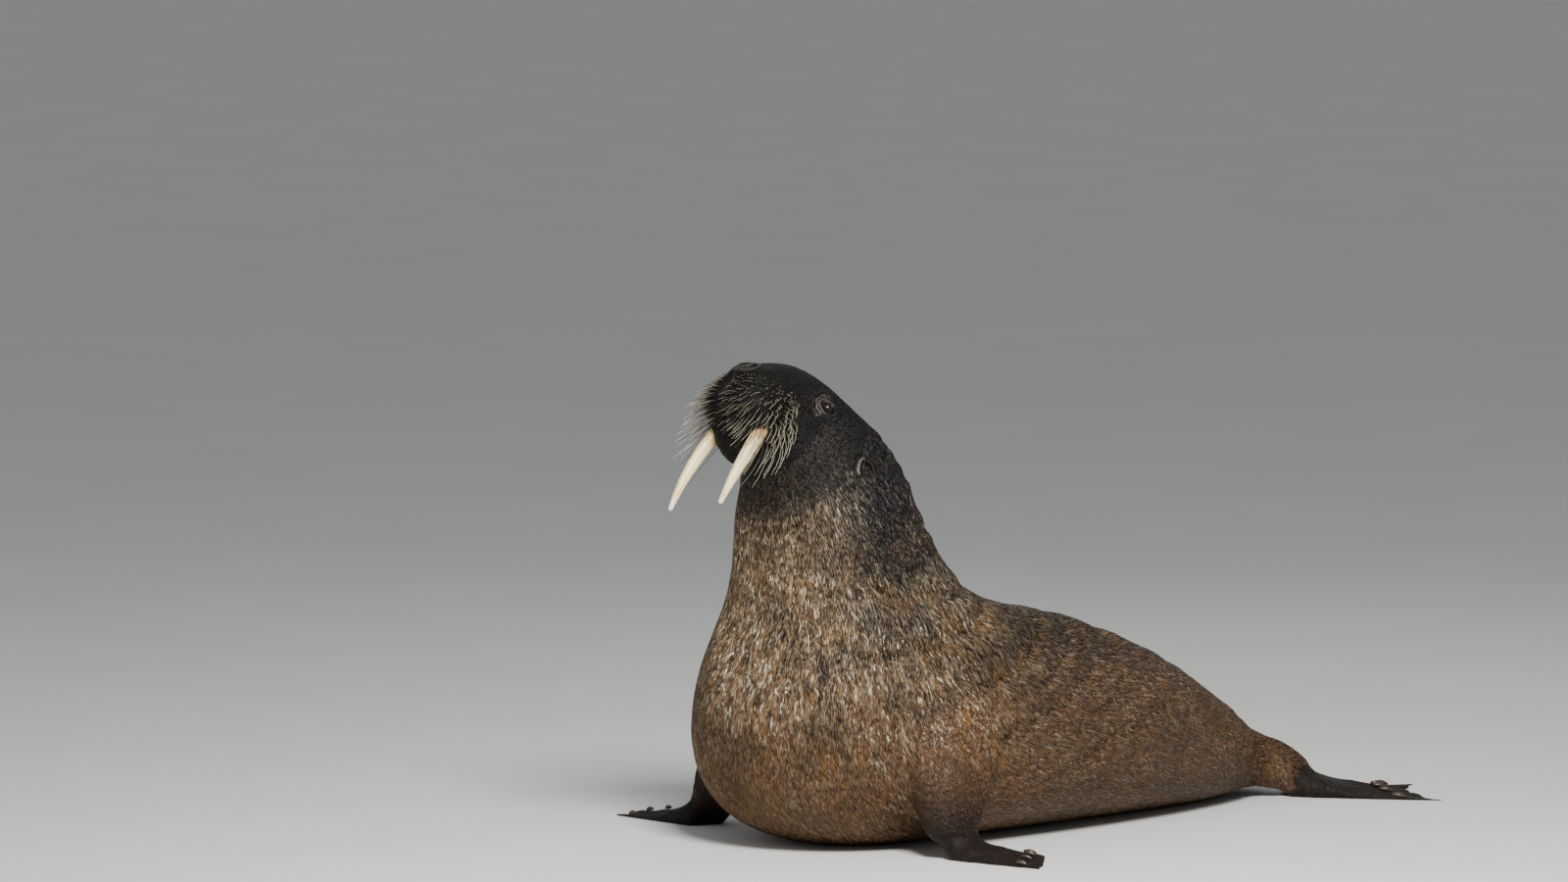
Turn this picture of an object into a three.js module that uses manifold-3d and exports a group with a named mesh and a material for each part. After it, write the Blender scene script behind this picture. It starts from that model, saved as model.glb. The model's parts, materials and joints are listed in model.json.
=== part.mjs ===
// An adult walrus at life size. It sits up on its fore flippers with the neck stretched and the muzzle raised.
// Millimetres, +Z up. It faces -Y, its left side is +X, and its belly, hands and feet rest on z = 0.
import * as THREE from "three";
import { mergeVertices } from "three/addons/utils/BufferGeometryUtils.js";
import Module from "manifold-3d";

const wasm = await Module();
wasm.setup();

const { degToRad, lerp, smoothstep } = THREE.MathUtils;

// Driving dimensions
const GAP = 0.3; // clear space between neighbouring pieces
const HEAD_PITCH = 35; // degrees that the muzzle is raised
const HEAD_HEIGHT = 1030; // of the point midway between the eyes and below them
const FULLNESS = 2.2; // exponent of the trunk's oval sections, 2 for a true ellipse
const TRUNK_SIDES = 34; // faces round the trunk
const TRUNK_STEP = 66; // length of a face along the body
const FACE_STEP = 27; // and along the head
const CUT_MARGIN = 80; // how far a dividing cut reaches beyond the body's sides
const REACH = 5000; // a block of this size is larger than the animal
const FLOOR_DEPTH = 400; // of the block that trims the underside flat
const ROUND_END = 0.8; // how far a rod's rounded end stands out, as a share of its half-thickness

// Each node's own colour, roughness and slot.
const SKIN = { color: 0x4a382b, roughness: 0.55 };
const FACE = { color: 0x2c241e, roughness: 0.5 };
const FLIPPER = { color: 0x3a302a, roughness: 0.6 };
const IVORY = { color: 0xeadfc2, roughness: 0.35 };
const EYE = { color: 0x120d0a, roughness: 0.1 };
const HORN = { color: 0x2a2420, roughness: 0.4 };

// The head is built level, facing -Y, about the point between its eyes, and then pitched up and raised.
const HEAD_FRAME = new THREE.Matrix4()
  .makeTranslation(0, 0, HEAD_HEIGHT)
  .multiply(new THREE.Matrix4().makeRotationX(-degToRad(HEAD_PITCH)));
const WORLD = new THREE.Matrix4();
const MIRROR = new THREE.Matrix4().makeScale(-1, 1, 1);

// A place in the head's frame, by its reach ahead of the eyes and its rise, as the body's forward and height.
function fromHead(ahead, rise) {
  const place = new THREE.Vector3(0, -ahead, rise).applyMatrix4(HEAD_FRAME);
  return [-place.y, place.z];
}

// The trunk from tail to muzzle. Each section stands on the line from a point of the belly to one of the back,
// both given as [forward, height], with half its width and the share of that line at which it is widest.
const TRUNK = [
  { back: [-1640, 103], belly: [-1632, 56], side: 40, level: 0.5 },
  { back: [-1600, 133], belly: [-1576, 30], side: 90, level: 0.5 },
  { back: [-1520, 188], belly: [-1460, 0], side: 158, level: 0.45 },
  { back: [-1400, 267], belly: [-1280, -14], side: 232, level: 0.42 },
  { back: [-1255, 353], belly: [-1020, -14], side: 302, level: 0.41 },
  { back: [-1105, 427], belly: [-720, -14], side: 352, level: 0.41 },
  { back: [-975, 476], belly: [-370, -14], side: 378, level: 0.42 },
  { back: [-870, 508], belly: [-100, -8], side: 384, level: 0.43 },
  { back: [-785, 528], belly: [80, 46], side: 382, level: 0.44 },
  { back: [-705, 545], belly: [176, 149], side: 374, level: 0.46 },
  { back: [-625, 562], belly: [200, 273], side: 360, level: 0.48 },
  { back: [-540, 588], belly: [182, 385], side: 334, level: 0.5 },
  { back: [-460, 632], belly: [145, 479], side: 304, level: 0.5 },
  { back: [-390, 712], belly: [112, 564], side: 268, level: 0.5 },
  { back: [-335, 816], belly: [103, 644], side: 236, level: 0.5 },
  { back: [-290, 924], belly: [105, 709], side: 212, level: 0.5 },
  { back: [-222, 1012], belly: [108, 774], side: 186, level: 0.5 },
  { back: fromHead(-82, 124), belly: fromHead(-34, -222), side: 160, level: 0.52 },
  { back: fromHead(-20, 131), belly: fromHead(14, -188), side: 134, level: 0.56 },
  { back: fromHead(44, 129), belly: fromHead(64, -140), side: 113, level: 0.54 },
  { back: fromHead(112, 112), belly: fromHead(114, -100), side: 104, level: 0.5 },
  { back: fromHead(178, 71), belly: fromHead(178, -72), side: 86, level: 0.5 },
  { back: fromHead(214, 45), belly: fromHead(212, -48), side: 62, level: 0.5 },
  { back: fromHead(231, 22), belly: fromHead(230, -24), side: 34, level: 0.5 },
];
const MUZZLE_TIP = fromHead(236, 2);
const TAIL_TIP = [-1656, 84];
const HEAD_FROM = 16; // the station where the head begins
const CUTS = [
  { node: "tail", at: 1.2 },
  { node: "hindquarters", at: 4.4 },
  { node: "belly", at: 8.4 },
  { node: "chest", at: 13.2 },
  { node: "neck", at: 17.1 },
  { node: "head", at: null },
];

// A THREE geometry as a manifold-3d solid. A mirroring matrix turns its faces back the right way.
function solid(geometry, matrix = WORLD) {
  const bare = geometry.clone();
  bare.deleteAttribute("normal");
  bare.deleteAttribute("uv");
  bare.applyMatrix4(matrix);
  const merged = mergeVertices(bare, 1e-3);
  const corners = new Uint32Array(merged.index.array);
  if (matrix.determinant() < 0) {
    for (let i = 0; i < corners.length; i += 3) {
      [corners[i + 1], corners[i + 2]] = [corners[i + 2], corners[i + 1]];
    }
  }
  const places = merged.attributes.position.array;
  const mesh = new wasm.Mesh({ numProp: 3, vertProperties: places, triVerts: corners });
  mesh.merge();
  return new wasm.Manifold(mesh);
}

const union = (solids) => solids.reduce((whole, piece) => whole.add(piece));
const without = (body, cutters) => cutters.reduce((whole, cutter) => whole.subtract(cutter), body);
const largest = (body) => body.decompose().sort((a, b) => b.volume() - a.volume())[0];

// Closes a stack of rings, each of the same number of points, with a fan to a pole at either end.
function skinOf(rings, firstPole, lastPole) {
  const count = rings[0].length;
  const points = [firstPole, ...rings.flat(), lastPole];
  const last = points.length - 1;
  const at = (ring, i) => 1 + ring * count + (i % count);
  const faces = [];
  for (let i = 0; i < count; i += 1) {
    faces.push(0, at(0, i + 1), at(0, i));
    faces.push(last, at(rings.length - 1, i), at(rings.length - 1, i + 1));
  }
  for (let ring = 0; ring < rings.length - 1; ring += 1) {
    for (let i = 0; i < count; i += 1) {
      faces.push(at(ring, i), at(ring, i + 1), at(ring + 1, i + 1));
      faces.push(at(ring, i), at(ring + 1, i + 1), at(ring + 1, i));
    }
  }
  const geometry = new THREE.BufferGeometry().setFromPoints(points);
  geometry.setIndex(faces);
  return geometry;
}

const smoothThrough = (points) => new THREE.CatmullRomCurve3(points, false, "catmullrom");

// The signed power that squares an ellipse's corner a little.
const rounded = (value, fullness) => Math.sign(value) * Math.abs(value) ** (2 / fullness);

const backLine = smoothThrough(TRUNK.map(({ back }) => new THREE.Vector3(0, -back[0], back[1])));
const bellyLine = smoothThrough(TRUNK.map(({ belly }) => new THREE.Vector3(0, -belly[0], belly[1])));
const trunkSizes = smoothThrough(TRUNK.map(({ side, level }) => new THREE.Vector3(side, level, 0)));

// The trunk's section at a station, which may lie between two of them.
function trunkSection(station) {
  const share = station / (TRUNK.length - 1);
  const back = backLine.getPoint(share);
  const belly = bellyLine.getPoint(share);
  const { x: side, y: level } = trunkSizes.getPoint(share);
  const height = back.distanceTo(belly);
  const dorsal = back.clone().sub(belly).normalize();
  return {
    centre: belly.clone().lerp(back, level),
    along: new THREE.Vector3(0, -dorsal.z, dorsal.y),
    dorsal,
    side,
    back: height * (1 - level),
    belly: height * level,
  };
}

// The point of a trunk section at an angle, 0 on its left side and 90 degrees on its back.
function trunkPoint(section, angle, grow) {
  const rise = rounded(Math.sin(angle), FULLNESS);
  const reach = rise > 0 ? section.back : section.belly;
  return section.centre
    .clone()
    .add(new THREE.Vector3((section.side + grow) * rounded(Math.cos(angle), FULLNESS), 0, 0))
    .addScaledVector(section.dorsal, (reach + grow) * rise);
}

function trunkForm(grow) {
  const rings = [];
  for (let station = 0; station < TRUNK.length - 1; station += 1) {
    const reach = trunkSection(station).centre.distanceTo(trunkSection(station + 1).centre);
    const steps = Math.max(1, Math.round(reach / (station < HEAD_FROM ? TRUNK_STEP : FACE_STEP)));
    for (let step = 0; step < steps; step += 1) rings.push(trunkSection(station + step / steps));
  }
  rings.push(trunkSection(TRUNK.length - 1));
  const angles = Array.from({ length: TRUNK_SIDES }, (_, i) => (2 * Math.PI * i) / TRUNK_SIDES);
  return solid(
    skinOf(
      rings.map((section) => angles.map((angle) => trunkPoint(section, angle, grow))),
      new THREE.Vector3(0, grow - TAIL_TIP[0], TAIL_TIP[1]),
      new THREE.Vector3(0, -grow - MUZZLE_TIP[0], MUZZLE_TIP[1]),
    ),
  );
}

// A tapered rod along a curve. radii gives its two half-thicknesses at a share of its length, first along flat.
function rod(curve, radii, sides, steps, flat) {
  const rings = [];
  for (let step = 0; step <= steps; step += 1) {
    const share = step / steps;
    const along = curve.getTangentAt(share);
    const across = flat.clone().addScaledVector(along, -flat.dot(along)).normalize();
    const over = along.clone().cross(across);
    const [wide, deep] = radii(share);
    const centre = curve.getPointAt(share);
    rings.push(
      Array.from({ length: sides }, (_, i) => {
        const angle = (2 * Math.PI * i) / sides;
        return centre
          .clone()
          .addScaledVector(across, wide * Math.cos(angle))
          .addScaledVector(over, deep * Math.sin(angle));
      }),
    );
  }
  const end = curve.getPointAt(1).addScaledVector(curve.getTangentAt(1), radii(1)[0] * ROUND_END);
  return skinOf(rings, curve.getPointAt(0), end);
}

function ellipsoid({ centre, radii, facets }, grow = 0) {
  return new THREE.SphereGeometry(1, ...facets)
    .rotateX(Math.PI / 2)
    .scale(radii[0] + grow, radii[1] + grow, radii[2] + grow)
    .translate(...centre);
}

// Head sizes, all in the level head's frame: [left, back, up] from between the eyes. The facets are a round
// form's faces around it and from pole to pole.
const NOSE = { centre: [0, -181, 13], radii: [64, 58, 48], facets: [18, 11] };
// The cushion is wider by the share "lower" at its lower edge.
const PAD = { centre: [22, -132, -34], radii: [90, 114, 94], lower: 0.2, facets: [24, 14] };
// The groove between the cushions runs from one rise over the level to another.
const CLEFT = { radius: 9, from: -1.25, to: 0.5, sides: 6, steps: 7 };
const CHIN = { centre: [0, -112, -128], radii: [58, 84, 54], facets: [18, 10] };
const BROW = { centre: [90, 2, 46], radii: [34, 48, 38], facets: [14, 9] };
const EYEBALL = { centre: [103, -11, 46], radius: 18, facets: [12, 8] };
const LID = { thick: 6, width: 33, height: 23, look: [0.84, -0.46, 0.24], depth: 60, facets: [14, 10] };
const EAR = {
  ahead: -112,
  rise: -35,
  radius: 22,
  thick: 4,
  blunt: 0.1,
  pit: 6,
  from: -110,
  to: 110,
  narrow: 0.4,
  bends: 5,
  sides: 5,
  facets: [8, 6],
};
const NOSTRIL = {
  width: 6.5,
  blunt: 0.06,
  sink: 3,
  sides: 7,
  steps: 5,
  turns: [
    [0.26, 0.3],
    [0.5, 0.52],
    [0.66, 0.86],
    [0.62, 1.16],
  ],
};
const MOUTH_CORNER = {
  radius: 5.5,
  fade: 0.6,
  sides: 6,
  steps: 5,
  line: [
    [112, -84],
    [84, -82],
    [58, -76],
    [34, -66],
  ],
};
const TUSKS = [
  { side: 1, length: 266, root: [66, -126, -46] },
  { side: -1, length: 302, root: [60, -126, -46] },
];
const TUSK = {
  wide: 17,
  deep: 20,
  tip: 6,
  taper: 2.1,
  lean: 16,
  curl: 21,
  spread: 7.5,
  toeIn: 11.5,
  spans: 6,
  sides: 12,
  steps: 9,
};

const inHead = (side = 1) => (side > 0 ? HEAD_FRAME : HEAD_FRAME.clone().multiply(MIRROR));
const headSolid = (geometry, side = 1) => solid(geometry, inHead(side));

// A tusk leaves the upper lip forwards and outwards, and curls back and inwards towards its tip.
function tuskForm({ side, length, root }, grow = 0) {
  const start = new THREE.Vector3(...root);
  const points = [];
  for (let i = 0; i <= TUSK.spans; i += 1) {
    points.push(start.clone());
    const lean = degToRad(TUSK.lean - (TUSK.curl * i) / TUSK.spans);
    const spread = degToRad(TUSK.spread - (TUSK.toeIn * i) / TUSK.spans);
    const step = new THREE.Vector3(Math.sin(spread), -Math.sin(lean), -Math.cos(lean));
    start.addScaledVector(step, length / TUSK.spans);
  }
  const taper = (share) => {
    const thin = share ** TUSK.taper;
    return [lerp(TUSK.wide, TUSK.tip, thin) + grow, lerp(TUSK.deep, TUSK.tip, thin) + grow];
  };
  const left = new THREE.Vector3(1, 0, 0);
  return headSolid(rod(smoothThrough(points), taper, TUSK.sides, TUSK.steps, left), side);
}

// A direction of the head's frame, by its turn from straight ahead and its rise over the level.
const directionOf = (round, rise) =>
  new THREE.Vector3(Math.sin(round) * Math.cos(rise), -Math.cos(round) * Math.cos(rise), Math.sin(rise));

// The point of the upper lip's whiskered cushion that lies in a direction from its centre.
function padPoint(direction, grow) {
  const full = 1 - PAD.lower * direction.z;
  return new THREE.Vector3(
    PAD.centre[0] + (PAD.radii[0] + grow) * direction.x * full,
    PAD.centre[1] + (PAD.radii[1] + grow) * direction.y * full,
    PAD.centre[2] + (PAD.radii[2] + grow) * direction.z,
  );
}

function padForm(side, grow) {
  const pad = new THREE.SphereGeometry(1, ...PAD.facets).rotateX(Math.PI / 2);
  const places = pad.getAttribute("position");
  for (let i = 0; i < places.count; i += 1) {
    const place = padPoint(new THREE.Vector3().fromBufferAttribute(places, i), grow);
    places.setXYZ(i, place.x, place.y, place.z);
  }
  return headSolid(pad, side);
}

// The groove that parts the two cushions runs down the middle of the muzzle.
function cleftForm() {
  const points = [];
  for (let i = 0; i <= CLEFT.steps; i += 1) {
    const rise = lerp(CLEFT.from, CLEFT.to, i / CLEFT.steps);
    points.push(padPoint(directionOf(0, rise), 0).setX(0));
  }
  const round = () => [CLEFT.radius, CLEFT.radius];
  return headSolid(rod(smoothThrough(points), round, CLEFT.sides, CLEFT.steps, new THREE.Vector3(1, 0, 0)));
}

const chinForm = (grow) => headSolid(ellipsoid(CHIN, grow));

function nosePoint(round, rise) {
  const reach = new THREE.Vector3(...NOSE.radii).addScalar(-NOSTRIL.sink);
  return new THREE.Vector3(...NOSE.centre).add(directionOf(round, rise).multiply(reach));
}

// A nostril is a crescent slot that runs up and outwards over the nose's dome.
function nostrilForm(side) {
  const crescent = smoothThrough(NOSTRIL.turns.map(([round, rise]) => nosePoint(round, rise)));
  const width = spindle(NOSTRIL.width, NOSTRIL.blunt);
  return headSolid(rod(crescent, width, NOSTRIL.sides, NOSTRIL.steps, new THREE.Vector3(1, 0, 0)), side);
}

const ballRound = (radius, facets) => new THREE.SphereGeometry(radius, ...facets).translate(...EYEBALL.centre);
const eyeballForm = (side, grow) => headSolid(ballRound(EYEBALL.radius + grow, EYEBALL.facets), side);

// The lids are a thicker ball round the eye, opened by an almond that looks outwards and forwards.
const lidForm = (side, grow) => headSolid(ballRound(EYEBALL.radius + LID.thick + grow, LID.facets), side);

function lidOpening(side) {
  const half = LID.width / 2;
  const almond = new THREE.Shape();
  almond.moveTo(-half, 0);
  almond.quadraticCurveTo(0, LID.height, half, 0);
  almond.quadraticCurveTo(0, -LID.height, -half, 0);
  const bar = { depth: LID.depth, bevelEnabled: false, curveSegments: 5 };
  const prism = new THREE.ExtrudeGeometry(almond, bar);
  const look = new THREE.Vector3(...LID.look).normalize();
  const level = new THREE.Vector3(0, 0, 1).cross(look).normalize();
  const place = new THREE.Matrix4().makeBasis(level, look.clone().cross(level), look);
  place.setPosition(...EYEBALL.centre);
  return headSolid(prism.applyMatrix4(place), side);
}

// How far the trunk's flank stands out beside a point of its middle plane. A bisection finds the section there.
function flankBeside(forward, height) {
  const point = new THREE.Vector3(0, -forward, height);
  let low = 0;
  let high = TRUNK.length - 1;
  while (high - low > 1e-4) {
    const middle = (low + high) / 2;
    const { centre, along } = trunkSection(middle);
    if (point.clone().sub(centre).dot(along) > 0) low = middle;
    else high = middle;
  }
  const section = trunkSection(low);
  const rise = point.clone().sub(section.centre).dot(section.dorsal);
  const share = Math.min(1, Math.abs(rise) / (rise > 0 ? section.back : section.belly));
  return new THREE.Vector3(section.side * (1 - share ** FULLNESS) ** (1 / FULLNESS), -forward, height);
}

const cheek = (ahead, rise) => flankBeside(...fromHead(ahead, rise));
const sideMatrix = (side) => (side > 0 ? WORLD : MIRROR);

// A round-ended thickness for a short fold or groove.
function spindle(radius, blunt) {
  return (share) => {
    const full = radius * Math.sqrt(Math.sin(Math.PI * lerp(blunt, 1 - blunt, share)));
    return [full, full];
  };
}

// The ear has no cup: a low fold of skin bends round the front of a small pit.
function earFold(side) {
  const points = [];
  for (let i = 0; i <= EAR.bends; i += 1) {
    const angle = degToRad(lerp(EAR.from, EAR.to, i / EAR.bends));
    const before = EAR.radius * EAR.narrow * Math.cos(angle);
    points.push(cheek(EAR.ahead + before, EAR.rise + EAR.radius * Math.sin(angle)));
  }
  const width = spindle(EAR.thick, EAR.blunt);
  const fold = rod(smoothThrough(points), width, EAR.sides, EAR.bends + 1, new THREE.Vector3(1, 0, 0));
  return solid(fold, sideMatrix(side));
}

function earPit(side) {
  const { x, y, z } = cheek(EAR.ahead, EAR.rise);
  return solid(new THREE.SphereGeometry(EAR.pit, ...EAR.facets).translate(x, y, z), sideMatrix(side));
}

// The line of the mouth runs back from under the cushion and fades on the cheek.
function mouthCorner(side) {
  const line = smoothThrough(MOUTH_CORNER.line.map(([ahead, rise]) => cheek(ahead, rise)));
  const width = (share) => {
    const full = MOUTH_CORNER.radius * (1 - MOUTH_CORNER.fade * share);
    return [full, full];
  };
  const groove = rod(line, width, MOUTH_CORNER.sides, MOUTH_CORNER.steps, new THREE.Vector3(0, 0, 1));
  return solid(groove, sideMatrix(side));
}

// What the cushions, chin and flippers grow from: the trunk with the head's own swellings.
function bodyForm(grow) {
  const swellings = [1, -1].flatMap((side) => [headSolid(ellipsoid(BROW, grow), side), lidForm(side, grow)]);
  return union([trunkForm(grow), headSolid(ellipsoid(NOSE, grow)), ...swellings]);
}

// Whiskers stand in staggered rows on each cushion. A whisker's length is a weighted sum of how low and how far
// out it stands, so they are short by the nose and long at the lower outer edge.
const WHISKERS = {
  rows: 8,
  perRow: 8,
  base: 1.7,
  waist: 1.3,
  shortest: 24,
  longest: 94,
  lowest: -1.02,
  highest: 0.5,
  inner: 0,
  outer: 1.8,
  root: 6,
  bend: { out: 0.42, fall: 0.2 },
  end: { out: 0.56, fall: 0.66 },
  droop: { inwards: 0.25, ahead: 0.35, down: 0.9 },
  weights: { low: 0.2, outwards: 0.3, both: 0.5 },
  fewest: 4,
  stagger: [0.65, 0.2],
};

// Three points round a whisker's axis.
function triangleAt(centre, axis, radius) {
  const along = axis.clone().normalize();
  const across = new THREE.Vector3(1, 0, 0).addScaledVector(along, -along.x).normalize();
  const over = along.clone().cross(across);
  return [0, 1, 2].map((corner) => {
    const angle = (2 * Math.PI * corner) / 3;
    return centre
      .clone()
      .addScaledVector(across, radius * Math.cos(angle))
      .addScaledVector(over, radius * Math.sin(angle));
  });
}

// A spine grows straight out of the cushion and then droops forwards.
function whisker(side, round, rise, length) {
  const direction = directionOf(round, rise);
  const place = padPoint(direction, 0);
  const normal = direction.clone().divide(new THREE.Vector3(...PAD.radii)).normalize();
  const { inwards, ahead, down } = WHISKERS.droop;
  const droop = new THREE.Vector3(-inwards * Math.sin(round), -ahead, -down);
  const along = ({ out, fall }) =>
    place
      .clone()
      .addScaledVector(normal, length * out)
      .addScaledVector(droop, length * fall);
  const root = place.clone().addScaledVector(normal, -WHISKERS.root);
  const bend = along(WHISKERS.bend);
  const end = along(WHISKERS.end);
  const rings = [
    triangleAt(root, bend.clone().sub(root), WHISKERS.base),
    triangleAt(bend, end.clone().sub(root), WHISKERS.waist),
  ];
  return headSolid(skinOf(rings, root.clone().sub(normal), end), side);
}

function whiskersOf(side) {
  const { rows, perRow, fewest, stagger, lowest, highest, inner, outer, shortest, longest, weights } = WHISKERS;
  const made = [];
  for (let row = 0; row < rows; row += 1) {
    const rise = lerp(lowest, highest, row / (rows - 1));
    const low = 1 - smoothstep(rise, lowest, highest);
    const count = Math.max(fewest, Math.round(perRow * Math.cos(rise)));
    for (let i = 0; i < count; i += 1) {
      const round = lerp(inner, outer, (i + stagger[row % 2]) / count);
      const outwards = smoothstep(round, 0, outer);
      const long = weights.low * low + weights.outwards * outwards + weights.both * low * outwards;
      made.push(whisker(side, round, rise, lerp(shortest, longest, long)));
    }
  }
  return made;
}

// A flipper's hand or foot, flat on its sole. Its local +X runs along the digits and +Y to the first of them.
const HAND = {
  length: 290,
  digits: [1, 0.95, 0.89, 0.82, 0.74],
  rootHalf: 50,
  tipHalf: 120,
  rootThick: 84,
  tipThick: 15,
  ridge: 5,
  web: 0.05,
  claw: { at: 0.8, radii: [17, 8, 6] },
};
const FOOT = {
  length: 400,
  digits: [1, 0.87, 0.83, 0.86, 0.97],
  rootHalf: 60,
  tipHalf: 172,
  rootThick: 104,
  tipThick: 12,
  ridge: 5,
  web: 0.06,
  claw: { at: 0.74, radii: [22, 9, 7] },
};
const PADDLE = {
  across: 16,
  along: 7,
  sole: -3, // the soles reach under the floor, which then trims them flat
  spread: 0.8, // under 1 the hand widens early
  edge: 3.2, // higher keeps the top flat nearer to its edges
  thinnest: 0.55, // share of the tip's thickness that is left at the edges
  low: 0.35, // height left at the side edges, as a share
  thins: [-0.15, 0.85], // the shares of its length between which it thins
  slope: 0.7, // under 1 it thins early
  rays: [0.15, 0.6], // the shares between which the digits' ridges rise
  clawSpan: 0.86, // of the half-width, out to the outer claws
  clawRise: 0.15, // how far a claw's middle lies over the skin, as a share of its half-thickness
  clawStep: 0.06, // a claw follows the slope over this share of the hand's length
  clawFacets: [8, 5],
};

// How far the hand reaches at a place across it, from -1 to 1: lobes at the digits with a notch between them.
function paddleReach(shape, across) {
  const position = ((1 - across) / 2) * (shape.digits.length - 1);
  const first = Math.min(shape.digits.length - 2, Math.floor(position));
  const between = position - first;
  const reach = lerp(shape.digits[first], shape.digits[first + 1], between);
  return shape.length * (reach - shape.web * Math.sin(Math.PI * between) ** 2);
}

// The local place of a point on the top of the hand. share runs from the root to the edge.
function paddleTop(shape, across, share) {
  const half = lerp(shape.rootHalf, shape.tipHalf, share ** PADDLE.spread);
  const arch = Math.sqrt(Math.max(0, 1 - Math.abs(across) ** PADDLE.edge));
  const thinning = smoothstep(share, ...PADDLE.thins) ** PADDLE.slope;
  const body = lerp(shape.rootThick, shape.tipThick, thinning);
  const position = ((1 - across) / 2) * (shape.digits.length - 1);
  const ray = shape.ridge * Math.cos(2 * Math.PI * position) * smoothstep(share, ...PADDLE.rays) * arch;
  const height = body * lerp(PADDLE.low, 1, arch) + ray;
  return new THREE.Vector3(
    paddleReach(shape, across) * share,
    across * half,
    Math.max(shape.tipThick * PADDLE.thinnest, height),
  );
}

function paddleGeometry(shape) {
  const top = [];
  const sole = [];
  for (let j = 0; j <= PADDLE.along; j += 1) {
    for (let i = 0; i <= PADDLE.across; i += 1) {
      const across = -Math.cos((Math.PI * i) / PADDLE.across);
      const point = paddleTop(shape, across, j / PADDLE.along);
      top.push(point);
      sole.push(new THREE.Vector3(point.x, point.y, PADDLE.sole));
    }
  }
  const row = PADDLE.across + 1;
  const faces = [];
  const under = top.length;
  for (let j = 0; j < PADDLE.along; j += 1) {
    for (let i = 0; i < PADDLE.across; i += 1) {
      const a = j * row + i;
      const b = under + a;
      faces.push(a, a + row, a + row + 1, a, a + row + 1, a + 1);
      faces.push(b, b + row + 1, b + row, b, b + 1, b + row + 1);
    }
  }
  const rim = [];
  for (let i = 0; i <= PADDLE.across; i += 1) rim.push(i);
  for (let j = 1; j <= PADDLE.along; j += 1) rim.push(j * row + PADDLE.across);
  for (let i = PADDLE.across - 1; i >= 0; i -= 1) rim.push(PADDLE.along * row + i);
  for (let j = PADDLE.along - 1; j > 0; j -= 1) rim.push(j * row);
  rim.forEach((a, i) => {
    const b = rim[(i + 1) % rim.length];
    faces.push(a, b, under + b, a, under + b, under + a);
  });
  const geometry = new THREE.BufferGeometry().setFromPoints([...top, ...sole]);
  geometry.setIndex(faces);
  return geometry;
}

// Where each hand and foot stands: its root, and the turn of its digits back from straight out to the side.
const LIMBS = [
  {
    name: "fore_flipper",
    shape: HAND,
    arm: {
      points: [
        [236, -232, 414],
        [308, -216, 318],
        [362, -184, 212],
        [402, -146, 108],
        [430, -130, 44],
      ],
      radii: [
        [110, 96],
        [148, 116],
        [122, 96],
        [92, 70],
        [70, 46],
      ],
      sides: 16,
      steps: 8,
    },
    stands: { left: [412, -138, -24], right: [418, -104, -14] },
  },
  {
    name: "hind_flipper",
    shape: FOOT,
    arm: {
      points: [
        [60, -1380, 130],
        [112, -1490, 100],
        [150, -1572, 72],
        [184, -1622, 46],
      ],
      radii: [
        [60, 60],
        [82, 72],
        [74, 58],
        [52, 40],
      ],
      sides: 14,
      steps: 5,
    },
    stands: { left: [152, -1584, -52], right: [154, -1580, -38] },
  },
];

const SIDES = [
  { name: "left", side: 1 },
  { name: "right", side: -1 },
];

// The hand's frame on one side. Points are [outwards, forwards, up] from the body's middle.
function standFrame(limb, sideName) {
  const [out, forward, turn] = limb.stands[sideName];
  return new THREE.Matrix4()
    .makeTranslation(out, -forward, 0)
    .multiply(new THREE.Matrix4().makeRotationZ(-degToRad(turn)))
    .multiply(new THREE.Matrix4().makeScale(1, -1, 1));
}

function armGeometry(arm) {
  const curve = smoothThrough(arm.points.map(([out, forward, up]) => new THREE.Vector3(out, -forward, up)));
  const sizes = smoothThrough(arm.radii.map(([wide, deep]) => new THREE.Vector3(wide, deep, 0)));
  const radii = (share) => {
    const size = sizes.getPoint(share);
    return [size.x, size.y];
  };
  return rod(curve, radii, arm.sides, arm.steps, new THREE.Vector3(0, 1, 0));
}

function clawForms(limb, frame, grow) {
  const { at, radii } = limb.shape.claw;
  return limb.shape.digits.map((_, digit) => {
    const across = (1 - (2 * digit) / (limb.shape.digits.length - 1)) * PADDLE.clawSpan;
    const root = paddleTop(limb.shape, across, at);
    const ahead = paddleTop(limb.shape, across, at + PADDLE.clawStep);
    const claw = ellipsoid({ centre: [0, 0, 0], radii, facets: PADDLE.clawFacets }, grow);
    const along = ahead.clone().sub(root).normalize();
    const level = new THREE.Vector3(0, 0, 1).cross(along).normalize();
    const place = new THREE.Matrix4().makeBasis(along, level, along.clone().cross(level));
    place.setPosition(root.x, root.y, root.z + radii[2] * PADDLE.clawRise);
    return solid(claw, frame.clone().multiply(place));
  });
}

const FLOOR = solid(new THREE.BoxGeometry(REACH, REACH, FLOOR_DEPTH).translate(0, 0, -FLOOR_DEPTH / 2));

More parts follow.
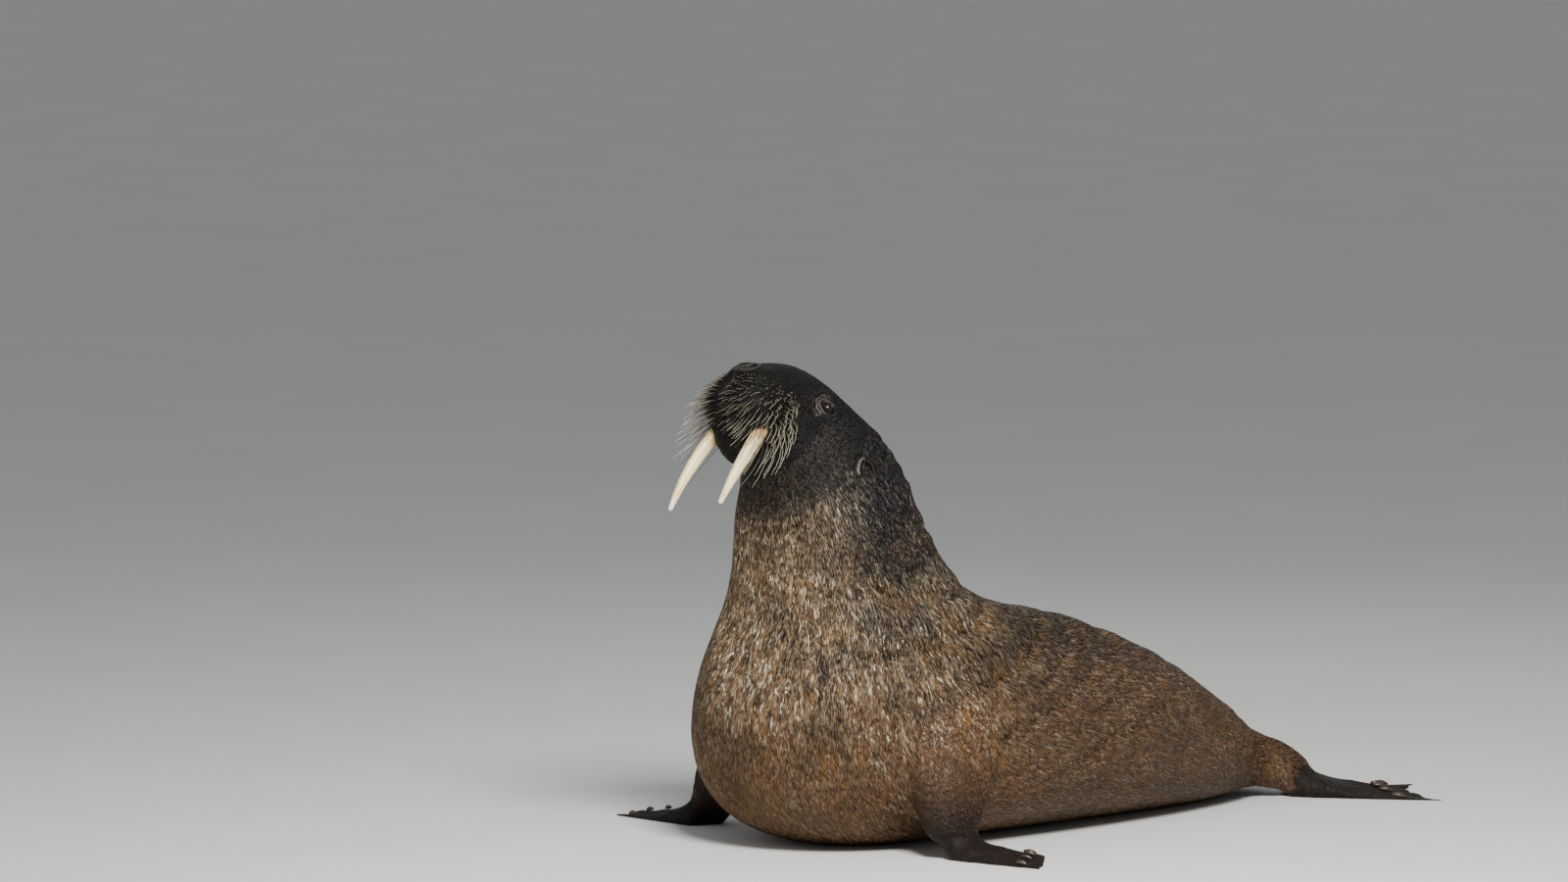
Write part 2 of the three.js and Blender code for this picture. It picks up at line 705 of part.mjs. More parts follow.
// Splits the trunk at its thin cuts, from the tail forwards, into named nodes.
function partTrunk(trunk) {
  const parts = {};
  let rest = trunk;
  for (const cut of CUTS) {
    if (cut.at === null) {
      parts[cut.node] = largest(rest);
      break;
    }
    const { centre, along, dorsal, side, back, belly } = trunkSection(cut.at);
    const slab = new THREE.BoxGeometry(2 * (side + CUT_MARGIN), GAP, back + belly + 2 * CUT_MARGIN);
    const place = new THREE.Matrix4().makeBasis(new THREE.Vector3(1, 0, 0), along.clone().negate(), dorsal);
    place.setPosition(centre);
    const pieces = rest.subtract(solid(slab, place)).decompose();
    const progress = (piece) => {
      const { min, max } = piece.boundingBox();
      const middle = new THREE.Vector3((min[0] + max[0]) / 2, (min[1] + max[1]) / 2, (min[2] + max[2]) / 2);
      return middle.sub(centre).dot(along);
    };
    const behind = pieces.filter((piece) => progress(piece) < 0);
    const ahead = pieces.filter((piece) => progress(piece) >= 0);
    parts[cut.node] = behind.sort((a, b) => b.volume() - a.volume())[0];
    rest = union(ahead);
  }
  return parts;
}

function meshOf(name, body, look) {
  const { numProp, vertProperties, triVerts } = body.getMesh();
  const geometry = new THREE.BufferGeometry();
  const points = new Float32Array((vertProperties.length / numProp) * 3);
  for (let i = 0; i < points.length / 3; i += 1) {
    points.set(vertProperties.subarray(i * numProp, i * numProp + 3), i * 3);
  }
  geometry.setAttribute("position", new THREE.BufferAttribute(points, 3));
  geometry.setIndex(new THREE.BufferAttribute(triVerts, 1));
  geometry.computeVertexNormals();
  const mesh = new THREE.Mesh(geometry, new THREE.MeshStandardMaterial({ metalness: 0, ...look }));
  mesh.name = name;
  return mesh;
}

function buildWalrus() {
  const walrus = new THREE.Group();
  const add = (name, body, look) => walrus.add(meshOf(name, body, look));
  const both = (make) => SIDES.map(({ side }) => make(side));

  const tusks = TUSKS.map((tusk) => tuskForm(tusk));
  const tuskSockets = TUSKS.map((tusk) => tuskForm(tusk, GAP));
  const eyes = both((side) => eyeballForm(side, 0));
  const body = without(union([bodyForm(0), ...both(earFold)]), [
    FLOOR,
    ...tuskSockets,
    ...both((side) => eyeballForm(side, GAP)),
    ...both(lidOpening),
    ...both(nostrilForm),
    ...both(mouthCorner),
    ...both(earPit),
  ]);
  const parts = partTrunk(body);
  for (const [name, part] of Object.entries(parts)) add(name, part, name === "head" ? FACE : SKIN);

  const bodyClear = bodyForm(GAP);
  const middle = solid(new THREE.BoxGeometry(GAP, REACH, REACH), HEAD_FRAME);
  SIDES.forEach(({ name, side }, i) => {
    const block = new THREE.BoxGeometry(REACH, REACH, REACH).translate((-side * REACH) / 2, 0, 0);
    const flesh = without(padForm(side, 0), [solid(block, HEAD_FRAME), middle, cleftForm()]);
    const pad = without(union([flesh, ...whiskersOf(side)]), [bodyClear, middle, ...tuskSockets]);
    add("lip_pad_" + name, largest(pad), FACE);
    add("tusk_" + name, tusks[i], IVORY);
    add("eye_" + name, eyes[i], EYE);
  });
  const padsClear = SIDES.map(({ side }) => padForm(side, GAP));
  add("lower_jaw", largest(without(chinForm(0), [bodyClear, ...padsClear, ...tuskSockets])), FACE);

  for (const limb of LIMBS) {
    const [end] = limb.name.split("_");
    for (const { name, side } of SIDES) {
      const placed = sideMatrix(side);
      const frame = placed.clone().multiply(standFrame(limb, name));
      const claws = clawForms(limb, frame, 0);
      const whole = union([solid(armGeometry(limb.arm), placed), solid(paddleGeometry(limb.shape), frame)]);
      const flipper = without(whole, [bodyClear, FLOOR, ...clawForms(limb, frame, GAP)]);
      add(limb.name + "_" + name, largest(flipper), FLIPPER);
      claws.forEach((claw, digit) => add(`claw_${end}_${name}_${digit + 1}`, claw, HORN));
    }
  }

  const box = new THREE.Box3().setFromObject(walrus);
  walrus.position.set(-(box.min.x + box.max.x) / 2, -(box.min.y + box.max.y) / 2, 0);
  return walrus;
}

export default buildWalrus();
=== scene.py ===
"""A life-size walrus that sits up on its fore flippers with the muzzle raised, in plain studio light."""
import json
import logging
import math
from collections.abc import Iterator
from contextlib import contextmanager
from dataclasses import dataclass, field
from enum import Enum
from typing import Any

import bpy
import numpy as np
from mathutils import Matrix, Vector
from mathutils.bvhtree import BVHTree
from mathutils.kdtree import KDTree

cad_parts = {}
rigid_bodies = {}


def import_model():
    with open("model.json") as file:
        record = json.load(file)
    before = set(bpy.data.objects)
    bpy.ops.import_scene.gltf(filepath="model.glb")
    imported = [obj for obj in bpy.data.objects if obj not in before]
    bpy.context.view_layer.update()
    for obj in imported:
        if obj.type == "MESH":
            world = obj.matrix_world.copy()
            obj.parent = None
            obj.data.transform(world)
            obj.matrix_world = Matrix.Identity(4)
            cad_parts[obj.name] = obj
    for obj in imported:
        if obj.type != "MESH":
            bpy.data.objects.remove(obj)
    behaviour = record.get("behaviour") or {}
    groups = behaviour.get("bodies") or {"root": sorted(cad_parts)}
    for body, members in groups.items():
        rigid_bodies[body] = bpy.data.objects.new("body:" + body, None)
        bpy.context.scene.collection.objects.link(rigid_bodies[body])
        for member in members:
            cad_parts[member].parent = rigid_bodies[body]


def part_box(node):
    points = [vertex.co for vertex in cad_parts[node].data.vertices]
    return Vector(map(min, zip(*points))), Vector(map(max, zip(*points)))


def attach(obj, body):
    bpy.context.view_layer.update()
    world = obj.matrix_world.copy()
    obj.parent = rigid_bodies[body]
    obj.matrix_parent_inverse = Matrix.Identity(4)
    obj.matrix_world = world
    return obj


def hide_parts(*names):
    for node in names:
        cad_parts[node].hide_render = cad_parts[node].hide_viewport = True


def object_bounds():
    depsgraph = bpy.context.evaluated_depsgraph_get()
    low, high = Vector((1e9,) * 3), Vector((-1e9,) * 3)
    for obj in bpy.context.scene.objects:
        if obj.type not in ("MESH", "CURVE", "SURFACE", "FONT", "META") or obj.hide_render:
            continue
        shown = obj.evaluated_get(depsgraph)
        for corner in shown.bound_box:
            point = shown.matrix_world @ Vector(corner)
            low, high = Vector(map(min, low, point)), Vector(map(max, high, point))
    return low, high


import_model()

LOG = logging.getLogger("walrus")
MM = 0.001
Array = np.ndarray
Row = tuple[float, ...]
Triple = tuple[float, float, float]
Piece = bpy.types.Object
Material = bpy.types.Material
Tree = bpy.types.NodeTree
Socket = bpy.types.NodeSocket
CAD_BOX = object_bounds()
SUNK = 4.5 * MM  # how far the skin lies inside the solids


class Side(Enum):
    """The two sides of the body. The value is the sign of its sideways axis."""

    LEFT = 1
    RIGHT = -1

    @property
    def label(self) -> str:
        """The side's name as the nodes spell it."""
        return self.name.lower()


def unit(vectors: Array) -> Array:
    """Vectors, one a row, at length 1."""
    return vectors / np.maximum(np.linalg.norm(vectors, axis=-1, keepdims=True), 1e-9)


def ease(value: Array, low: float, high: float) -> Array:
    """A smooth step from 0 at low to 1 at high. Low may be the larger."""
    share = np.clip((value - low) / (high - low), 0.0, 1.0)
    return share * share * (3.0 - 2.0 * share)


def bell(distance: Array, width: float) -> Array:
    """A smooth hump of height 1 that fades over width."""
    return np.exp(-((distance / width) ** 2))


def heading(turn: Array, rise: Array) -> Array:
    """Directions at angles round from straight ahead and over the level, one a row."""
    return np.stack([np.sin(turn) * np.cos(rise), -np.cos(turn) * np.cos(rise), np.sin(rise)], axis=1)


def smooth_through(points: Array, at: Array) -> Array:
    """Points of a Catmull-Rom curve.

    Args:
        points: the points it passes through, one a row.
        at: where to read it, counted from 0 at the first point.

    Returns:
        One row for each value of at.
    """
    first = np.clip(np.floor(at).astype(int), 0, len(points) - 2)
    t = (at - first)[:, None]
    ends = np.vstack([2 * points[0] - points[1], points, 2 * points[-1] - points[-2]])
    a, b, c, d = ends[first], ends[first + 1], ends[first + 2], ends[first + 3]
    return 0.5 * (2 * b + (c - a) * t + (2 * a - 5 * b + 4 * c - d) * t**2 + (3 * b - a - 3 * c + d) * t**3)


def nearest_on_line(points: Array, line: Array) -> tuple[Array, Array]:
    """How far points are from a bent line.

    Args:
        points: the points, one a row.
        line: the line's corners, one a row.

    Returns:
        The distance of each point, and the share of the line's corners at which it is nearest.
    """
    best = np.full(len(points), 1e9)
    share = np.zeros(len(points))
    for i in range(len(line) - 1):
        step = line[i + 1] - line[i]
        along = np.clip(((points - line[i]) @ step) / (step @ step), 0.0, 1.0)
        away = np.linalg.norm(points - line[i] - along[:, None] * step, axis=1)
        nearer = away < best
        best = np.where(nearer, away, best)
        share = np.where(nearer, (i + along) / (len(line) - 1), share)
    return best, share


@dataclass
class Noise:
    """Smooth seeded noise in space, from about -1 to 1."""

    seed: int

    def __post_init__(self) -> None:
        """Draws the table of gradients."""
        draw = np.random.default_rng(self.seed)
        self.order = draw.permutation(256)
        self.slopes = unit(draw.normal(size=(256, 3)))

    def at(self, points: Array) -> Array:
        """The noise at points in units of its own cells.

        Args:
            points: one a row.

        Returns:
            One value for each point.
        """
        cell = np.floor(points).astype(int)
        inside = points - cell
        fade = inside**3 * (inside * (inside * 6 - 15) + 10)
        total = np.zeros(len(points))
        for corner in np.ndindex(2, 2, 2):
            at = (cell + corner) & 255
            key = self.order[(self.order[(self.order[at[:, 0]] + at[:, 1]) & 255] + at[:, 2]) & 255]
            weight = np.prod(np.where(np.array(corner) == 1, fade, 1 - fade), axis=1)
            total += weight * np.sum(self.slopes[key] * (inside - corner), axis=1)
        return total * 1.7

    def layered(self, points: Array, octaves: int) -> Array:
        """The noise at points with finer copies of itself, each of half the size and strength, as octaves says."""
        return sum(self.at(points * 2**i + 17.3 * i) * 0.5**i for i in range(octaves)) / 1.6


def linear(code: str) -> tuple[float, float, float, float]:
    """An sRGB hex colour, such as #8a5530, as the linear red, green and blue that shaders read, and 1."""
    parts = [int(code[i : i + 2], 16) / 255 for i in (1, 3, 5)]
    return (*[p / 12.92 if p <= 0.04045 else ((p + 0.055) / 1.055) ** 2.4 for p in parts], 1.0)


def put(
    tree: Tree, kind: str, feeds: dict[Any, Any] | None = None, out: int | str = 0, **settings: Any
) -> Socket | None:
    """Adds a shader node.

    Args:
        tree: the node tree.
        kind: its type, without the word that starts them all.
        feeds: the socket or the plain value for each input, by name or number.
        out: the output that is wanted.
        settings: its own properties.

    Returns:
        That output, if it has any.
    """
    node = tree.nodes.new(f"ShaderNode{kind}")
    for name, value in settings.items():
        setattr(node, name, value)
    for key, value in (feeds or {}).items():
        if isinstance(value, Socket):
            tree.links.new(value, node.inputs[key])
        else:
            node.inputs[key].default_value = value
    return node.outputs[out] if len(node.outputs) else None


def new_material(name: str) -> tuple[Material, Tree]:
    """An empty material of a plain name, with its node tree."""
    material = bpy.data.materials.new(name)
    material.use_nodes = True
    material.node_tree.nodes.clear()
    return material, material.node_tree


def finished(material: Material, feeds: dict[str, Any]) -> Material:
    """Closes a material with its shader, which takes the given feeds."""
    put(material.node_tree, "OutputMaterial", {"Surface": put(material.node_tree, "BsdfPrincipled", feeds)})
    return material


def nothing_selected() -> None:
    """Deselects every object, so that a new primitive stands alone."""
    for other in bpy.context.view_layer.objects:
        other.select_set(False)


def only(piece: Piece) -> None:
    """Selects one object and nothing else, and makes it the active one."""
    nothing_selected()
    piece.select_set(True)
    bpy.context.view_layer.objects.active = piece


@contextmanager
def editing(piece: Piece, chosen: Array | None = None, kind: str = "VERT") -> Iterator[None]:
    """Opens edit mode on one object, and closes it at the end.

    Args:
        piece: the object.
        chosen: True for each corner or face to select, or nothing to keep what is selected.
        kind: VERT or FACE.
    """
    only(piece)
    if chosen is not None:
        bpy.ops.object.mode_set(mode="EDIT")
        bpy.ops.mesh.select_mode(type=kind)
        bpy.ops.mesh.select_all(action="DESELECT")
        bpy.ops.object.mode_set(mode="OBJECT")
        (piece.data.vertices if kind == "VERT" else piece.data.polygons).foreach_set("select", chosen)
    bpy.ops.object.mode_set(mode="EDIT")
    yield
    bpy.ops.object.mode_set(mode="OBJECT")


def rows_of(parts: bpy.types.bpy_prop_collection, name: str) -> Array:
    """A vector that each corner or face of a mesh has, one a row."""
    out = np.empty(len(parts) * 3, dtype=np.float32)
    parts.foreach_get(name, out)
    return out.reshape(-1, 3).astype(float)


def points_of(piece: Piece) -> Array:
    """A mesh's corners, one a row."""
    return rows_of(piece.data.vertices, "co")


def normals_of(piece: Piece) -> Array:
    """A mesh's outward direction at each corner, one a row."""
    return rows_of(piece.data.vertices, "normal")


def chosen_corners(piece: Piece) -> Array:
    """Which of a mesh's corners are selected."""
    out = np.empty(len(piece.data.vertices), dtype=bool)
    piece.data.vertices.foreach_get("select", out)
    return out


def move_points(piece: Piece, places: Array) -> None:
    """Puts a mesh's corners at the given places."""
    piece.data.vertices.foreach_set("co", places.astype(np.float32).ravel())
    piece.data.update()


def note(piece: Piece, name: str, values: Array) -> None:
    """Keeps a number, or a row of three, for each corner of a mesh as an attribute for its material."""
    kind, key = ("FLOAT_VECTOR", "vector") if values.ndim == 2 else ("FLOAT", "value")
    layer = piece.data.attributes.new(name, kind, "POINT")
    layer.data.foreach_set(key, values.astype(np.float32).ravel())


def mesh_piece(name: str, points: Array, faces: Array) -> Piece:
    """An object made from arrays, for what repeats many times.

    Args:
        name: its name.
        points: its corners, one a row.
        faces: its triangles, one a row.

    Returns:
        The object.
    """
    mesh = bpy.data.meshes.new(name)
    mesh.vertices.add(len(points))
    mesh.vertices.foreach_set("co", points.astype(np.float32).ravel())
    mesh.loops.add(faces.size)
    mesh.loops.foreach_set("vertex_index", faces.astype(np.int32).ravel())
    mesh.polygons.add(len(faces))
    mesh.polygons.foreach_set("loop_start", np.arange(0, faces.size, 3, dtype=np.int32))
    mesh.update(calc_edges=True)
    piece = bpy.data.objects.new(name, mesh)
    bpy.context.collection.objects.link(piece)
    return piece


def repeated(faces: Array, corners: int, count: int) -> Array:
    """The triangles of count copies of a form with so many corners, one a row."""
    return (faces[None] + np.arange(count)[:, None, None] * corners).reshape(-1, 3)


def loft(name: str, rings: list[Array]) -> Piece:
    """A closed form made by extruding a disc from ring to ring.

    Args:
        name: its name.
        rings: the corners of each ring.

    Returns:
        The object.
    """
    nothing_selected()
    count = len(rings[0])
    bpy.ops.mesh.primitive_circle_add(vertices=count, radius=1.0, fill_type="NGON")
    piece = bpy.context.object
    piece.name = piece.data.name = name
    placed = points_of(piece)
    turn = np.arctan2(placed[:, 1], placed[:, 0]) % (2 * math.pi)
    order = np.argsort(np.argsort(turn))
    move_points(piece, rings[0][order])
    for ring_before, ring in zip(rings, rings[1:]):
        with editing(piece):
            bpy.ops.mesh.extrude_region_move()
        places, moved = points_of(piece), np.flatnonzero(chosen_corners(piece))
        away = np.linalg.norm(places[moved][:, None, :] - ring_before[None, :, :], axis=2)
        places[moved] = ring[np.argmin(away, axis=1)]
        move_points(piece, places)
    with editing(piece):
        bpy.ops.mesh.select_all(action="SELECT")
        bpy.ops.mesh.fill_holes(sides=0)
        bpy.ops.mesh.normals_make_consistent(inside=False)
    return piece


def ball(name: str, across: int, down: int) -> Piece:
    """A sphere of radius 1 about the origin, ready to be shaped.

    Args:
        name: its name.
        across: faces round it.
        down: faces from pole to pole.

    Returns:
        The object.
    """
    nothing_selected()
    bpy.ops.mesh.primitive_uv_sphere_add(segments=across, ring_count=down, radius=1.0, location=(0, 0, 0))
    piece = bpy.context.object
    piece.name = piece.data.name = name
    return piece


def turn_outwards(piece: Piece) -> None:
    """Merges a mesh's doubles and points its faces outwards."""
    with editing(piece):
        bpy.ops.mesh.select_all(action="SELECT")
        bpy.ops.mesh.remove_doubles(threshold=1e-6)
        bpy.ops.mesh.normals_make_consistent(inside=False)


def join(pieces: list[Piece], name: str) -> Piece:
    """Joins objects into the first of them.

    Args:
        pieces: the objects.
        name: the name of what they become.

    Returns:
        The joined object.
    """
    only(pieces[0])
    for piece in pieces:
        piece.select_set(True)
    bpy.ops.object.join()
    pieces[0].name = pieces[0].data.name = name
    return pieces[0]


def apply(piece: Piece, kind: str, **settings: Any) -> None:
    """Gives an object a modifier and applies it.

    Args:
        piece: the object.
        kind: the modifier's type.
        settings: its properties.
    """
    only(piece)
    modifier = piece.modifiers.new(kind.lower(), kind)
    for name, value in settings.items():
        setattr(modifier, name, value)
    bpy.ops.object.modifier_apply(modifier=modifier.name)


def dress(piece: Piece, material: Material, nodes: tuple[str, ...] = ()) -> None:
    """Smooths a finished piece's shading and gives it its material and its place on the body.

    Args:
        piece: the finished object.
        material: its material.
        nodes: the nodes that it stands for.
    """
    only(piece)
    bpy.ops.object.shade_smooth()
    piece.data.materials.clear()
    piece.data.materials.append(material)
    if nodes:
        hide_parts(*nodes)
    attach(piece, "root")
    LOG.info("%s: %d faces", piece.name, len(piece.data.polygons))


@dataclass
class HeadPlan:
    """The head's own level frame, in millimetres to the left, back and up from between the eyes."""

    height: float = 1030.0
    pitch: float = 35.0
    eye: Triple = (103.0, -11.0, 46.0)
    eye_radius: float = 18.0
    look: Triple = (0.84, -0.46, 0.24)
    nose: Row = (0.0, -181.0, 13.0, 64.0, 58.0, 48.0)
    cushion: Row = (22.0, -132.0, -34.0, 90.0, 114.0, 94.0)
    cushion_lower: float = 0.2
    chin: Row = (0.0, -112.0, -128.0, 58.0, 84.0, 54.0)
    brow: Row = (90.0, 2.0, 46.0, 34.0, 48.0, 38.0)

    def __post_init__(self) -> None:
        """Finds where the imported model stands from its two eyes."""
        middle = np.mean([*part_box("eye_left"), *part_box("eye_right")], axis=0)
        turn = math.radians(-self.pitch)
        self.turn = np.array(
            [[1, 0, 0], [0, math.cos(turn), -math.sin(turn)], [0, math.sin(turn), math.cos(turn)]]
        )
        between = self.turn @ np.array([0.0, self.eye[1], self.eye[2]]) + [0, 0, self.height]
        self.shift = middle - between * MM
        self.shift[2] = 0.0
        self.origin = np.array([0, 0, self.height]) * MM + self.shift

    def out(self, places: Array) -> Array:
        """Places of the head's frame as places of the scene, one a row."""
        return np.asarray(places, dtype=float) @ self.turn.T * MM + self.origin

    def into(self, points: Array) -> Array:
        """Places of the scene as places of the head's frame, one a row."""
        return (points - self.origin) / MM @ self.turn

    def profile(self, ahead: float, rise: float) -> tuple[float, float]:
        """A place of the middle plane as the body's forward and height, in millimetres."""
        place = self.turn @ np.array([0.0, -ahead, rise])
        return -place[1], place[2] + self.height

    def cushion_point(self, turn: Array, rise: Array) -> tuple[Array, Array]:
        """Points of the upper lip's left cushion, on the skin.

        Args:
            turn: the angles round from straight ahead.
            rise: the angles over the level.

        Returns:
            The points and the outward directions, in the head's frame.
        """
        way = heading(turn, rise)
        radii = np.array(self.cushion[3:]) - SUNK / MM
        full = (1 - self.cushion_lower * way[:, 2:3]) * np.array([[1.0, 1.0, 0.0]]) + np.array([[0.0, 0.0, 1.0]])
        return np.array(self.cushion[:3]) + radii * way * full, unit(way / radii)


HEAD = HeadPlan()


@dataclass
class TrunkPlan:
    """The trunk from tail to muzzle as sections that stand on lines from the belly to the back, in millimetres."""

    fullness: float = 2.2
    body_rows: tuple[Row, ...] = (
        (-1640, 103, -1632, 56, 40, 0.5),
        (-1600, 133, -1576, 30, 90, 0.5),
        (-1520, 188, -1460, 0, 158, 0.45),
        (-1400, 267, -1280, -14, 232, 0.42),
        (-1255, 353, -1020, -14, 302, 0.41),
        (-1105, 427, -720, -14, 352, 0.41),
        (-975, 476, -370, -14, 378, 0.42),
        (-870, 508, -100, -8, 384, 0.43),
        (-785, 528, 80, 46, 382, 0.44),
        (-705, 545, 176, 149, 374, 0.46),
        (-625, 562, 200, 273, 360, 0.48),
        (-540, 588, 182, 385, 334, 0.5),
        (-460, 632, 145, 479, 304, 0.5),
        (-390, 712, 112, 564, 268, 0.5),
        (-335, 816, 103, 644, 236, 0.5),
        (-290, 924, 105, 709, 212, 0.5),
        (-222, 1012, 108, 774, 186, 0.5),
    )
    head_rows: tuple[Row, ...] = (
        (-82, 124, -34, -222, 160, 0.52),
        (-20, 131, 14, -188, 134, 0.56),
        (44, 129, 64, -140, 113, 0.54),
        (112, 112, 114, -100, 104, 0.5),
        (178, 71, 178, -72, 86, 0.5),
        (214, 45, 212, -48, 62, 0.5),
        (231, 22, 230, -24, 34, 0.5),
    )

    def __post_init__(self) -> None:
        """Gathers the curves of the back, the belly and the sizes."""
        rows = [list(row) for row in self.body_rows]
        for ahead, rise, low_ahead, low_rise, side, level in self.head_rows:
            back = HEAD.profile(ahead, rise)
            belly = HEAD.profile(low_ahead, low_rise)
            rows.append([*back, *belly, side, level])
        self.table = np.array(rows)
        self.last = len(rows) - 1
        fine = np.linspace(0, self.last, 400)
        steps = np.linalg.norm(np.diff(self.sections(fine)[0], axis=0), axis=1)
        self.fine, self.run = fine, np.concatenate([[0], np.cumsum(steps)])

    def sections(self, at: Array) -> tuple[Array, Array, Array, Array, Array, Array]:
        """Sections of the trunk.

        Args:
            at: their stations.

        Returns:
            The centres, the directions along the body and towards its back, and the reach to the side, back and
            belly, all in the scene's frame.
        """
        row = smooth_through(self.table, np.asarray(at, dtype=float))
        zero = np.zeros(len(row))
        back = np.stack([zero, -row[:, 0], row[:, 1]], axis=1) * MM + HEAD.shift
        belly = np.stack([zero, -row[:, 2], row[:, 3]], axis=1) * MM + HEAD.shift
        side, level = row[:, 4] * MM, row[:, 5]
        height = np.linalg.norm(back - belly, axis=1)
        dorsal = unit(back - belly)
        along = np.stack([zero, -dorsal[:, 2], dorsal[:, 1]], axis=1)
        centre = belly + (back - belly) * level[:, None]
        return centre, along, dorsal, side, height * (1 - level), height * level

    def points(self, at: Array, angle: Array) -> Array:
        """Points of the trunk on the skin.

        Args:
            at: their stations.
            angle: 0 on the left side and a quarter turn on the back, in radians.

        Returns:
            One row for each.
        """
        centre, _, dorsal, side, back, belly = self.sections(at)

        def rounded(value: Array) -> Array:
            """The signed power that squares an oval a little."""
            return np.sign(value) * np.abs(value) ** (2 / self.fullness)

        rise = rounded(np.sin(angle))
        reach = np.where(rise > 0, back, belly) - SUNK
        across = (side - SUNK) * rounded(np.cos(angle))
        return centre + dorsal * (reach * rise)[:, None] + np.stack([across, 0 * across, 0 * across], axis=1)

    def distance_along(self, at: Array) -> Array:
        """How far stations are from the tail along the body's middle, in metres."""
        return np.interp(at, self.fine, self.run)

    def flank(self, ahead: float, rise: float) -> Array:
        """The left flank's point beside a place of the head's middle plane.

        Args:
            ahead: how far in front of the eyes, in the head's frame.
            rise: how far over them.

        Returns:
            The point in the scene's frame.
        """
        forward, height = HEAD.profile(ahead, rise)
        place = np.array([0.0, -forward, height]) * MM + HEAD.shift
        low, high = 0.0, float(self.last)
        for _ in range(24):
            middle = (low + high) / 2
            centre, along, *_ = self.sections(np.array([middle]))
            if (place - centre[0]) @ along[0] > 0:
                low = middle
            else:
                high = middle
        centre, _, dorsal, side, back, belly = (v[0] for v in self.sections(np.array([low])))
        up = (place - centre) @ dorsal
        share = min(1.0, abs(up) / (back if up > 0 else belly))
        return place + np.array([(side - SUNK) * (1 - share**self.fullness) ** (1 / self.fullness), 0, 0])


@dataclass
class PaddlePlan:
    """A flipper's hand or foot, in millimetres. Its local X runs along the digits and Y to the first of them."""

    length: float
    digits: Row
    root_half: float
    tip_half: float
    root_thick: float
    tip_thick: float
    ridge: float
    web: float
    claw_at: float
    claw_size: Triple

    def lobe(self, across: Array) -> tuple[Array, Array]:
        """How far the edge reaches at places across it, from -1 to 1, and how near each is to a digit's middle."""
        position = (1 - across) / 2 * (len(self.digits) - 1)
        first = np.clip(np.floor(position).astype(int), 0, len(self.digits) - 2)
        between = position - first
        reach = np.array(self.digits)[first] * (1 - between) + np.array(self.digits)[first + 1] * between
        return self.length * (reach - self.web * np.sin(math.pi * between) ** 2), np.cos(2 * math.pi * position)

    def top(self, across: Array, share: Array) -> Array:
        """Points of the hand's back.

        Args:
            across: from -1 to 1 over its width.
            share: from 0 at its root to 1 at its edge.

        Returns:
            Local places in millimetres, one a row.
        """
        half = self.root_half + (self.tip_half - self.root_half) * share**0.8
        arch = np.sqrt(np.maximum(0, 1 - np.abs(across) ** 3.2))
        thin = ease(share, -0.15, 0.85) ** 0.7
        body = self.root_thick + (self.tip_thick - self.root_thick) * thin
        reach, digit = self.lobe(across)
        height = body * (0.35 + 0.65 * arch) + self.ridge * digit * ease(share, 0.15, 0.6) * arch
        return np.stack([reach * share, across * half, np.maximum(self.tip_thick * 0.55, height)], axis=1)


@dataclass
class LimbPlan:
    """A flipper: its upper part as a tapered bend, and where its hand or foot stands, in millimetres."""

    name: str
    paddle: PaddlePlan
    line: tuple[Triple, ...]
    radii: tuple[tuple[float, float], ...]
    stands: dict[Side, Triple]

    def frame(self, side: Side) -> tuple[Array, Array]:
        """The hand's frame.

        Args:
            side: which side.

        Returns:
            The turn whose columns are its local axes, and its origin in metres.
        """
        out, forward, turn = self.stands[side]
        cos, sin = math.cos(math.radians(turn)), math.sin(math.radians(turn))
        spin = np.array([[side.value * cos, -side.value * sin, 0], [-sin, -cos, 0], [0, 0, 1.0]])
        return spin, np.array([side.value * out, -forward, 0.0]) * MM + HEAD.shift

    def bend(self, side: Side, at: Array) -> tuple[Array, Array, Array]:
        """The upper part's middle line and its half-thicknesses at shares of its length.

        Args:
            side: which side.
            at: shares from 0 at its root to 1.

        Returns:
            The places, the directions along it and the two half-thicknesses, in metres.
        """
        corners = np.array([[side.value * o, -f, u] for o, f, u in self.line]) * MM + HEAD.shift
        scale = len(corners) - 1
        places = smooth_through(corners, at * scale)
        ahead = smooth_through(corners, np.minimum(at * scale + 0.01, scale))
        behind = smooth_through(corners, np.maximum(at * scale - 0.01, 0))
        return places, unit(ahead - behind), smooth_through(np.array(self.radii) * MM, at * scale)

    def rings(self, side: Side, at: Array, turn: Array) -> tuple[Array, Array, Array]:
        """Rings round the upper part on the skin, at shares of its length and angles.

        Args:
            side: which side.
            at: shares from 0 at its root to 1.
            turn: the angles.

        Returns:
            The points, ring by ring, the rings' middles and their directions along it.
        """
        places, along, radii = self.bend(side, at)
        across = unit(np.array([0.0, 1.0, 0.0]) - along * along[:, 1:2])
        over = np.cross(along, across)
        wide, deep = (radii - SUNK).T[:, :, None, None]
        points = np.cos(turn)[:, None] * wide * across[:, None] + np.sin(turn)[:, None] * deep * over[:, None]
        return places[:, None] + points, places, along


